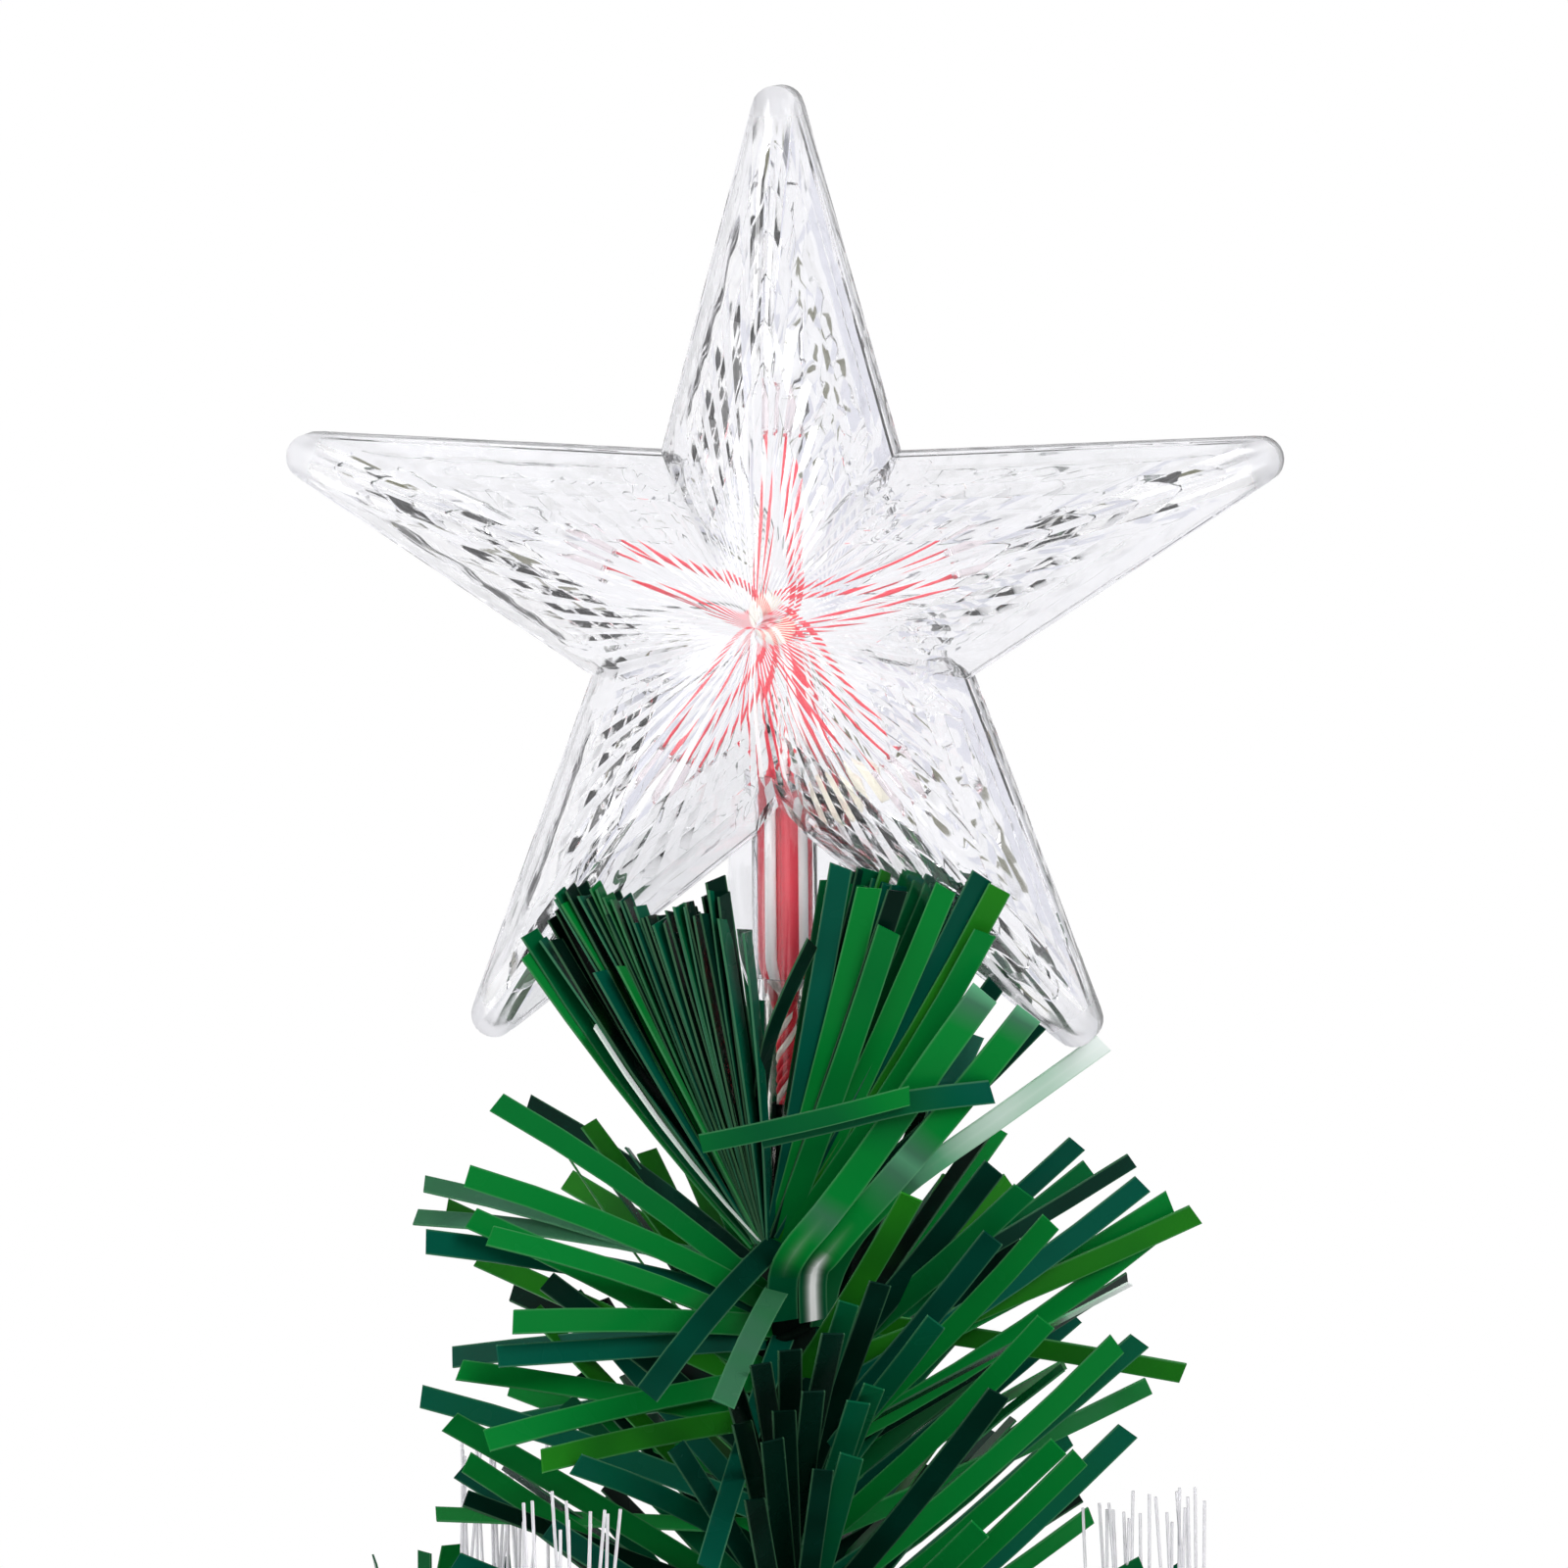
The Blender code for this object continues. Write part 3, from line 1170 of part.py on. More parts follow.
def make_stem_tube(parent, material):
    """Clear tube from the pole's tip up into the star's spout."""
    bore = STEM_RADIUS - STEM_WALL
    profile = [(STEM_RADIUS, STEM_TOP), (STEM_RADIUS, STEM_FOOT), (bore, STEM_FOOT), (bore, STEM_TOP)]
    mesh = to_mesh("star_stem_tube", turned(profile, ROUND_STEPS), material)
    place("star_stem_tube", mesh, parent)


def make_wire(name, parent, side, material):
    """Wire from the trunk's foot to the lamp hub, straight at first and twisted where it shows."""
    top = STAR_HEIGHT - LAMP_HUB_RADIUS - GAP
    places = [(TRUNK_FOOT, 0), (POLE_TOP, 0)]
    for step in range(1, WIRE_TURN_STEPS + 1):
        share = step / WIRE_TURN_STEPS
        places.append((POLE_TOP + (top - POLE_TOP) * share, WIRE_TURNS * math.tau * share**2))
    curve = bpy.data.curves.new(name, "CURVE")
    curve.dimensions = "3D"
    curve.bevel_depth = WIRE_RADIUS
    curve.bevel_resolution = 2
    curve.use_fill_caps = True
    spline = curve.splines.new("POLY")
    spline.points.add(len(places) - 1)
    for point, (height, turn) in zip(spline.points, places):
        x, y = polar(side * WIRE_OFFSET, turn)
        point.co = (x, y, height, 1)
    curve.materials.append(material)
    place(name, curve, parent)


def make_star(parent, materials):
    """Both shells on the swivel, with the lamp cluster between them."""
    frame = place("star_swivel", None, parent, location=(0, 0, STAR_HEIGHT))
    shell_mesh = make_star_shell_mesh(materials["star"])
    place("star_front_shell", shell_mesh, frame)
    place("star_rear_shell", shell_mesh, frame, turn=math.pi)
    make_star_lamps(frame, materials["lamps"])


def make_materials():
    """Materials of the tree, by use."""
    return {
        "base": make_material("dark green plastic", (0.012, 0.060, 0.025), 0.45),
        "inner": make_material("black plastic", (0.02, 0.02, 0.02), 0.5),
        "foot": make_material("grey rubber", (0.08, 0.08, 0.08), 0.8),
        "steel": make_material("zinc plated steel", (0.55, 0.55, 0.57), 0.35, metallic=1.0),
        "lamp": make_material("reflector metal", (0.8, 0.8, 0.8), 0.15, metallic=1.0),
        "wheel": make_material("tinted wheel", (0.45, 0.20, 0.55), 0.2, transmission=0.6),
        "trunk": make_material("trunk plastic", (0.010, 0.035, 0.016), 0.5),
        "wire": make_material("green taped wire", (0.010, 0.090, 0.025), 0.6),
        "needles": make_material("green needle film", (0.000, 0.120, 0.030), 0.25),
        "fibre": make_material("clear fibre", (0.85, 0.87, 0.90), 0.1, transmission=0.8),
        "star": make_material("clear star plastic", (0.93, 0.94, 0.97), 0.05, transmission=1.0),
        "tube": make_material("clear tube", (0.90, 0.90, 0.92), 0.08, transmission=1.0),
        "lamps": make_material("lamp resin", (0.80, 0.08, 0.10), 0.2),
        "red": make_material("red wire", (0.75, 0.04, 0.06), 0.35),
        "white": make_material("white wire", (0.90, 0.90, 0.90), 0.35),
    }


def main():
    clear_scene()
    materials = make_materials()
    make_base_shell(materials["base"])
    make_base_floor(materials["inner"])
    make_foot_ring(materials["foot"])
    make_ballast(materials["steel"])
    make_lamp(materials["lamp"])
    make_motor(materials["steel"])
    make_wheel(materials["wheel"])
    make_jack(materials["inner"])
    make_switch(materials["inner"], materials["red"])
    make_clamp_screw(materials["inner"])

    trunk = place("trunk_axis", None)
    make_ferrule(trunk, materials["inner"])
    make_trunk(trunk, materials["trunk"])
    make_bundle(trunk, materials["fibre"])
    for tier in range(len(TIER_COUNTS)):
        make_collar(tier, trunk, materials["trunk"])
        make_branches(tier, trunk, materials)
    make_top_pole(trunk, materials["trunk"])
    make_top_brush(trunk, materials["needles"])
    make_stem_tube(trunk, materials["tube"])
    make_wire("star_wire_red", trunk, 1, materials["red"])
    make_wire("star_wire_white", trunk, -1, materials["white"])
    make_star(trunk, materials)


main()
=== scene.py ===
"""Table-top fibre optic tree with a clear ribbed star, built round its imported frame.

Every piece is in metres in the frame's own axes. The camera looks at the star and the brush under
it, as a product photographer would, and the rest of the tree is finished for the other views.
"""

import math
import random
from functools import partial

import bmesh
import bpy
from bpy.props import FloatProperty, FloatVectorProperty, IntProperty, PointerProperty
from bpy.types import Operator, Panel, PropertyGroup
from mathutils import Matrix, Vector
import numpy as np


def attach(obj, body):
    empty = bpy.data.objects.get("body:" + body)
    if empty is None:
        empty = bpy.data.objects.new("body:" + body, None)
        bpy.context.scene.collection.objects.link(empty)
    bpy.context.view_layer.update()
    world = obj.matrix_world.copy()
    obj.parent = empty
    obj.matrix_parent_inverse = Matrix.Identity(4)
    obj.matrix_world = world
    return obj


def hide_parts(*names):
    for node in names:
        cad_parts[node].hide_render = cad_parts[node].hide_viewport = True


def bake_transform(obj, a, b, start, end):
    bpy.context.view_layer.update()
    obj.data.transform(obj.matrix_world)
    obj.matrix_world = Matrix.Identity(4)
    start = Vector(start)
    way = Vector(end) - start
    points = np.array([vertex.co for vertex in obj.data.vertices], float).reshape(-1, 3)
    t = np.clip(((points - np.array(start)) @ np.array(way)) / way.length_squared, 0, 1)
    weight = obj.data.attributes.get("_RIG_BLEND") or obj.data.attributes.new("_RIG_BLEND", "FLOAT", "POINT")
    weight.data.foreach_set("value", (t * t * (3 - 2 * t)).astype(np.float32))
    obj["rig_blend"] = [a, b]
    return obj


bl_info = {
    "name": "Fibre optic tree", "version": (1, 0, 0), "blender": (4, 5, 0),
    "location": "3D View > Sidebar > Tree",
    "description": "Builds the visible pieces of a table-top fibre optic tree round its frame",
    "category": "Add Mesh"
}

IMAGE_SIZE = 1600

# Kinds of node that the trees and materials use most
MATH = "ShaderNodeMath"
VECTOR_MATH = "ShaderNodeVectorMath"
MAP_RANGE = "ShaderNodeMapRange"
COMBINE = "ShaderNodeCombineXYZ"
ATTRIBUTE = "GeometryNodeInputNamedAttribute"
STORE = "GeometryNodeStoreNamedAttribute"
RANDOM = "FunctionNodeRandomValue"

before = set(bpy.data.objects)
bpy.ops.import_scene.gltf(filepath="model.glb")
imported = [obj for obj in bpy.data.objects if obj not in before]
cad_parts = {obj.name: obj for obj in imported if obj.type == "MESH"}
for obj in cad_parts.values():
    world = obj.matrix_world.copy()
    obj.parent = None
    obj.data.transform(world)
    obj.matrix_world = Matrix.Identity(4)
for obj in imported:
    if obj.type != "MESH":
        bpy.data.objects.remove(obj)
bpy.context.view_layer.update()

# Sizes that fit the frame, in metres and radians, with shares and counts. FLANK_SLOPE is a share per metre
STAR_HEIGHT = 0.8240
NOTCH_RADIUS = 0.0291
POINT_RADIUS = 0.0857
POINT_ROUNDING = 0.0034
POINTS = 5
PLANE_GAP = 0.00015
CREST_ROUNDING = 0.0012
# Inside the arms: where the rows of bars start, how many fit in a whole reach, and their ribs' height
BAR_START = 0.5
BAR_ROWS = 12.0
INNER_RIB = 0.38
# Power of the dome's fall to its rim, and the values that each point of the star's blank carries
DOME_POWER = 1.6
STAR_LAYERS = ("share", "reach", "turn", "inner", "domed")
FLANK_SLOPE = 42.4
MIDDLE_REACH = 0.045
SPOUT_RADIUS = 0.0048
SPOUT_LENGTH = 0.027
SPOUT_INNER_REACH = 0.006
SPOUT_SEAT_RADIUS = 0.0035
SPOUT_SEAT_HEIGHT = 0.003
SPOUT_BORE_RADIUS = 0.0043
WEB_THICKNESS = 0.0010
WEB_OUTLINE = (
    (0.0040, -0.0312), (0.0080, -0.0345), (0.0083, -0.0390), (0.0078, -0.0450), (0.0066, -0.0510),
    (0.0050, -0.0556), (0.0040, -0.0556)
)
STEM_FOOT = 0.7366
STEM_RADIUS = 0.0032
STEM_WALL = 0.0006
POLE_TIP_TOP = 0.7523
TWIST_RADIUS = 0.0011
TRUNK_FOOT = 0.0663
BRUSH_FOOT = 0.6346
BRUSH_TOP = 0.7363
BRUSH_CORE = 0.0052
HINGE_RADIUS = 0.021
TIER_HEIGHTS = (0.185367, 0.312260, 0.440830, 0.586170)
TIER_REACHES = (0.235, 0.19975, 0.1598, 0.08695)
TIER_ANGLES = tuple(math.radians(angle) for angle in (12, 18, 25, 38))
TIER_AZIMUTHS = tuple(math.radians(angle) for angle in (0, 45, 0, 30))
TIER_COUNTS = (6, 4, 4, 3)
TIER_FORKS = (((0.47, 0.42), (0.70, 0.30)), ((0.47, 0.42), (0.70, 0.30)), ((0.52, 0.42),), ((0.50, 0.42),))
STEM_START = 0.14
STEM_END = 0.90
TOP_TIER = 3
# Fibres of the top tier's branches: stem, how many, stretch of it, heights of their tops, sway
TOP_FIBRES = (
    (
        (0, 20, (0.14, 0.62), (0.6910, 0.6840), (-0.08, 0.08)),
        (2, 7, (0.3, 1.0), (0.672, 0.668), (-0.1, 0.1))
    ),
    (
        (0, 16, (0.10, 0.58), (0.6980, 0.6900), (-0.08, 0.08)),
        (1, 7, (0.3, 1.0), (0.684, 0.680), (-0.1, 0.1))
    ),
    (
        (0, 14, (0.20, 0.90), (0.6760, 0.6700), (-0.10, 0.10)),
        (1, 12, (0.4, 1.0), (0.704, 0.707), (-0.06, 0.14))
    )
)
TIP_LIFT = 0.05
FORK_ANGLE = math.radians(38)
FORK_LIFT = 0.10
TIP_SLANT = 0.0007
STRIP_WIDTH = 0.0034
# Where a strip leaves the brush's core, as a share of the core's radius
ROOT_SHARE = 0.8
# Turn from one strip to the next that spreads them evenly, in radians and as a share of a circle
GOLDEN_ANGLE = 2.39996
GOLDEN_SHARE = 0.618
# How far the slant of the cut moves on from one strip to the next, in radians
CUT_STEP = 2.4
# Twist of a branch's stem in radians per metre, and its thickness as a share of its width
STEM_TWIST = 900.0
STEM_FLATNESS = 0.55
# Fill strips stand only behind above one height, and steeply in the last stretch under the top
FILL_SIDES_TOP = 0.664
FILL_STEEP = 0.022
# Twisted core of the top brush: radius of its turns, turn from step to step and number of steps
CORE_TURNS_RADIUS = 0.0047
CORE_TURN = 0.42
CORE_STEPS = 120
# Radius of the circle of screws under the base, and the width of the camera's sensor in millimetres
SCREW_CIRCLE = 0.07
SENSOR_WIDTH = 36
# Outlines of a lamp and of the glue at the star's centre, as (radius, height)
LAMP_OUTLINE = (
    (0.0, 0.0345), (0.0011, 0.0341), (0.0019, 0.0332), (0.0024, 0.0318), (0.0025, 0.0305), (0.0025, 0.0272),
    (0.0029, 0.0271), (0.0029, 0.0262), (0.0, 0.0262)
)
GLUE_OUTLINE = (
    (0.0, 0.0016), (0.0012, 0.0014), (0.0020, 0.0009), (0.0024, 0.0002), (0.0022, -0.0006),
    (0.0014, -0.0012), (0.0, -0.0014)
)
# The feed wires: turns in the clear tube, and the shares of their way where the twist ends, where
# they spread and over how much, and where they close up again and over how much
FEED_STRANDS = 6
FEED_STEPS = 64
FEED_TURNS = 1.75
TWIST_END = 0.24
SPREAD_START = 0.16
SPREAD_STRETCH = 0.16
CLOSE_START = 0.66
CLOSE_STRETCH = 0.30
# The base cover: its neck, rim, inside and bore as (radius, height), and its dome
COVER_NECK = (
    (0.0157, 0.1), (0.0166, 0.0996), (0.017, 0.0987), (0.017, 0.0815), (0.0178, 0.0802), (0.0195, 0.0797)
)
COVER_RIM = ((0.095, 0.0045), (0.0944, 0.0034), (0.0935, 0.003), (0.0925, 0.003))
COVER_BORE = (
    (0.0144, 0.0755), (0.0144, 0.058), (0.0085, 0.058), (0.0085, 0.062), (0.0114, 0.062), (0.0114, 0.0994),
    (0.0120, 0.1)
)
DOME_MIDDLE = 0.040
DOME_FOOT = 0.038
VENT_COUNT = 20


def linear(code):
    """Linear colour of an sRGB hex value."""
    parts = [int(code[index:index + 2], 16) / 255 for index in (1, 3, 5)]
    return tuple(c / 12.92 if c <= 0.04045 else ((c + 0.055) / 1.055) ** 2.4 for c in parts)


# Settings


def length_property(name, description, metres):
    """Length with its default in metres."""
    return FloatProperty(name=name, description=description, default=metres, unit="LENGTH")


def angle_property(name, description, degrees):
    """Angle with its default in degrees."""
    return FloatProperty(name=name, description=description, default=math.radians(degrees), subtype="ANGLE")


def colour_property(name, description, code):
    """Colour with its default as an sRGB hex value."""
    return FloatVectorProperty(name=name, description=description, default=linear(code), subtype="COLOR")


class StarSettings(PropertyGroup):
    rib_count: IntProperty(name="Ribs", description="Ribs round each shell", default=80)
    rib_slope: angle_property("Rib slope", "Slope of a rib's flanks", 18)
    half_depth: length_property("Half depth", "Depth of one shell at its centre", 0.022)
    side_depth: length_property("Side depth", "Depth of one shell at its rim", 0.003)
    wall: length_property("Wall", "Thickness of the moulding", 0.0018)
    step: length_property("Step", "Height of the steps inside the arms", 0.0004)
    tint: colour_property("Tint", "Tint of the clear plastic", "#FCFCFE")
    wire_radius: length_property("Wire radius", "Radius of a lamp wire", 0.0005)


class NeedleSettings(PropertyGroup):
    width: length_property("Width", "Width of a needle strip", STRIP_WIDTH)
    thickness: length_property("Thickness", "Thickness of a needle strip", 0.0003)
    length: length_property("Length", "Length of a strip outside its core", 0.056)
    branch_length: length_property("Branch length", "Length of a branch's strips", 0.043)
    spacing: length_property("Spacing", "Stem length from one strip to the next", 0.0010)
    lean: angle_property("Lean", "Angle from a stem to its strips", 46)
    bright: colour_property("Bright green", "Main green of the film", "#05702B")
    deep: colour_property("Deep green", "Darker green of the film", "#03502A")


class FibreSettings(PropertyGroup):
    radius: length_property("Radius", "Radius of a fibre", 0.00025)
    count: IntProperty(name="Fibres", description="Fibres on each twig", default=13)
    colour: colour_property("Colour", "Colour of the clear fibre", "#FBFAFE")


class BaseSettings(PropertyGroup):
    colour: colour_property("Colour", "Colour of the moulded base", "#12402A")
    steps: IntProperty(name="Steps", description="Facets round the base", default=96)


class StageSettings(PropertyGroup):
    azimuth: angle_property("Azimuth", "Turn of the camera round the tree", 10)
    elevation: angle_property("Elevation", "Height of the camera as an angle", 6.8)
    distance: length_property("Distance", "From the camera to the trunk's axis", 1.2)
    view_width: length_property("View width", "Width seen at the trunk's axis", 0.2277)
    target_height: length_property("Target height", "Height the camera looks at", 0.7991)
    roll: angle_property("Roll", "Turn of the camera about its own axis", 0.5)
    ambient: FloatProperty(name="Ambient", description="Strength of the world's light", default=0.65)
    key: FloatProperty(name="Key", description="Power of the main lamp", default=25.0, unit="POWER")
    fill: FloatProperty(name="Fill", description="Power of the second lamp", default=11.0, unit="POWER")


# Node and mesh helpers


def add_node(tree, kind, inputs=None, **settings):
    """Add one node with its settings, and link or set its inputs, given by key or in order."""
    node = tree.nodes.new(kind)
    for name, value in settings.items():
        setattr(node, name, value)
    pairs = enumerate(inputs) if isinstance(inputs, tuple) else (inputs or {}).items()
    for key, value in pairs:
        if isinstance(value, bpy.types.Node):
            value = value.outputs[0]
        if isinstance(value, bpy.types.NodeSocket):
            tree.links.new(value, node.inputs[key])
        else:
            node.inputs[key].default_value = value
    return node


def new_material(name, **values):
    """Principled material with plain values on its sockets, keyed by socket name."""
    material = bpy.data.materials.new(name)
    material.use_nodes = True
    shader = material.node_tree.nodes["Principled BSDF"]
    for key, value in values.items():
        socket = shader.inputs[key.replace("_", " ")]
        socket.default_value = (*value, 1.0) if socket.type == "RGBA" else value
    return material, material.node_tree, shader


def grain(tree, size_mm, detail=2.0):
    """Noise whose spots are a given size in millimetres, on the piece's own coordinates."""
    place = add_node(tree, "ShaderNodeTexCoord")
    return add_node(
        tree, "ShaderNodeTexNoise",
        {"Vector": place.outputs["Object"], "Scale": 1000 / size_mm, "Detail": detail}
    )


def roughen(tree, shader, source, low, high):
    """Let a pattern move the roughness between two values."""
    spread = add_node(tree, MAP_RANGE, {"Value": source, "To Min": low, "To Max": high})
    tree.links.new(spread.outputs[0], shader.inputs["Roughness"])


def emboss(tree, shader, source, depth_mm):
    """Raise a pattern by a depth in millimetres."""
    bump = add_node(
        tree, "ShaderNodeBump", {"Height": source, "Strength": 1.0, "Distance": depth_mm / 1000}
    )
    tree.links.new(bump.outputs[0], shader.inputs["Normal"])


def shift_colour(tree, shader, source, dark, light):
    """Let a pattern move the base colour between two shades."""
    mixed = add_node(tree, "ShaderNodeMix", {0: source, 6: (*dark, 1), 7: (*light, 1)}, data_type="RGBA")
    tree.links.new(mixed.outputs[2], shader.inputs["Base Color"])


def set_ramp(node, stops, interpolation="LINEAR"):
    """Give a colour ramp its stops, each a place from 0 to 1 and a colour, in order."""
    bar = node.color_ramp
    bar.interpolation = interpolation
    bar.elements[0].position = stops[0][0]
    bar.elements[1].position = stops[-1][0]
    for place, _ in stops[1:-1]:
        bar.elements.new(place)
    for element, (_, colour) in zip(bar.elements, stops):
        element.color = (*colour, 1)


def shade(colour, factor):
    """Colour made darker or lighter by a factor."""
    return tuple(min(1.0, channel * factor) for channel in colour)


def link(name, mesh):
    """Object at the origin that shows a mesh."""
    made = bpy.data.objects.new(name, mesh)
    bpy.context.scene.collection.objects.link(made)
    return made


def smooth(mesh, angle=math.radians(30)):
    """Smooth shading but for edges sharper than an angle."""
    mesh.shade_smooth()
    mesh.set_sharp_from_angle(angle=angle)
    return mesh


def mesh_of(name, bm):
    """Mesh from a finished bmesh."""
    mesh = bpy.data.meshes.new(name)
    bm.to_mesh(mesh)
    bm.free()
    return mesh


def from_bm(name, bm, material=None):
    """Object from a finished bmesh, with its faces turned outwards."""
    bmesh.ops.recalc_face_normals(bm, faces=bm.faces)
    mesh = mesh_of(name, bm)
    if material:
        mesh.materials.append(material)
    return link(name, smooth(mesh))


def lathe(profile, steps):
    """Solid turned round Z from an outline of (radius, height) points."""
    bm = bmesh.new()
    verts = [bm.verts.new((radius, 0, height)) for radius, height in profile]
    edges = [bm.edges.new(pair) for pair in zip(verts, verts[1:])]
    if profile[0][0] > 0:
        edges.append(bm.edges.new((verts[-1], verts[0])))
    bmesh.ops.spin(bm, geom=verts + edges, axis=(0, 0, 1), angle=math.tau, steps=steps)
    bmesh.ops.remove_doubles(bm, verts=bm.verts, dist=0.000002)
    bmesh.ops.recalc_face_normals(bm, faces=bm.faces)
    return bm


def cut_or_join(target, tool_bm, operation):
    """Apply one exact Boolean to an object's mesh."""
    bmesh.ops.recalc_face_normals(tool_bm, faces=tool_bm.faces)
    tool = from_bm("tool", tool_bm)
    modifier = target.modifiers.new("Boolean", "BOOLEAN")
    modifier.operation = operation
    modifier.solver = "EXACT"
    modifier.object = tool
    graph = bpy.context.evaluated_depsgraph_get()
    mesh = bpy.data.meshes.new_from_object(target.evaluated_get(graph))
    target.modifiers.clear()
    target.data = mesh
    bpy.data.objects.remove(tool, do_unlink=True)


def box_bm(low, high):
    """Box between two corners."""
    bm = bmesh.new()
    size = Vector(high) - Vector(low)
    matrix = Matrix.Translation(Vector(low) + size / 2) @ Matrix.Diagonal((*size, 1))
    bmesh.ops.create_cube(bm, size=1, matrix=matrix)
    return bm


def rod_bm(start, end, radius, steps):
    """Round rod between two points."""
    bm = bmesh.new()
    axis = Vector(end) - Vector(start)
    turn = axis.to_track_quat("Z", "Y").to_matrix().to_4x4()
    matrix = Matrix.Translation(Vector(start) + axis / 2) @ turn
    bmesh.ops.create_cone(
        bm, cap_ends=True, segments=steps, radius1=radius, radius2=radius, depth=axis.length, matrix=matrix
    )
    return bm


def settle(piece, body, slot, *nodes):
    """Tell the frame what a finished piece rides on and the nodes it stands for. Its finish slot is not
    used.
    """
    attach(piece, body)
    if nodes:
        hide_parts(*nodes)
    return piece


def paint_node(name, material):
    """Give a frame node its finished material."""
    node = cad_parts[name]
    for place in node.material_slots:
        place.material = material


# Geometry node trees


def open_tree(name, sockets):
    """New geometry tree with named inputs, and its two end nodes."""
    tree = bpy.data.node_groups.new(name, "GeometryNodeTree")
    tree.interface.new_socket("Geometry", in_out="INPUT", socket_type="NodeSocketGeometry")
    for label, kind in sockets:
        tree.interface.new_socket(label, in_out="INPUT", socket_type="NodeSocket" + kind)
    tree.interface.new_socket("Geometry", in_out="OUTPUT", socket_type="NodeSocketGeometry")
    start = add_node(tree, "NodeGroupInput")
    end = add_node(tree, "NodeGroupOutput")
    return tree, start, end


def close_tree(tree, start, end, geometry):
    """Realise what a tree made, give it its material and send it out."""
    real = add_node(tree, "GeometryNodeRealizeInstances", {0: geometry})
    painted = add_node(
        tree, "GeometryNodeSetMaterial", {"Geometry": real, "Material": start.outputs["Material"]}
    )
    tree.links.new(painted.outputs[0], end.inputs[0])
    return tree


def strip_tree():
    """Flat strips swept along guide lines, whose flat side faces the guides' own normal."""
    tree, start, end = open_tree(
        "Needle strips", (("Width", "Float"), ("Thickness", "Float"), ("Material", "Material"))
    )
    add = partial(add_node, tree)
    curve = add("GeometryNodeMeshToCurve", {0: start.outputs["Geometry"]})
    faced = add(
        "GeometryNodeSetCurveNormal",
        {"Curve": curve, "Normal": add(ATTRIBUTE, {"Name": "flat"}, data_type="FLOAT_VECTOR")}, mode="FREE"
    )
    profile = strip_profile(tree, start.outputs["Thickness"], start.outputs["Width"])
    wide = add(ATTRIBUTE, {"Name": "wide"})
    mesh = add(
        "GeometryNodeCurveToMesh",
        {"Curve": faced, "Profile Curve": profile, "Scale": wide, "Fill Caps": True}
    )
    return close_tree(tree, start, end, slant_tips(tree, mesh))


def slant_tips(tree, strips):
    """Move the two corners of each strip's tip opposite ways, as a slanting cut leaves them."""
    add = partial(add_node, tree)
    cut = add(ATTRIBUTE, {"Name": "cut"}, data_type="FLOAT_VECTOR")
    across = add(ATTRIBUTE, {"Name": "across"})
    shift = add(VECTOR_MATH, {0: cut, "Scale": across}, operation="SCALE")
    return add("GeometryNodeSetPosition", {"Geometry": strips, "Offset": shift})


def strip_profile(tree, thickness, width):
    """Cross-section of a strip, which keeps each point's place from one cut edge to the other."""
    add = partial(add_node, tree)
    outline = add("GeometryNodeCurvePrimitiveQuadrilateral", {"Width": thickness, "Height": width})
    place = add("ShaderNodeSeparateXYZ", {0: add("GeometryNodeInputPosition")})
    side = add(MATH, (place.outputs[1],), operation="SIGN")
    return add(STORE, {"Geometry": outline, "Name": "across", "Value": side}, domain="POINT")


def strand_tree():
    """Round strands swept along guide lines."""
    tree, start, end = open_tree(
        "Round strands", (("Radius", "Float"), ("Sides", "Int"), ("Material", "Material"))
    )
    add = partial(add_node, tree)
    curve = add("GeometryNodeMeshToCurve", {0: start.outputs["Geometry"]})
    profile = add(
        "GeometryNodeCurvePrimitiveCircle",
        {"Resolution": start.outputs["Sides"], "Radius": start.outputs["Radius"]}
    )
    wide = add(ATTRIBUTE, {"Name": "wide"})
    mesh = add(
        "GeometryNodeCurveToMesh",
        {"Curve": curve, "Profile Curve": profile, "Scale": wide, "Fill Caps": True}
    )
    soft = add("GeometryNodeSetShadeSmooth", {"Geometry": mesh})
    return close_tree(tree, start, end, soft)


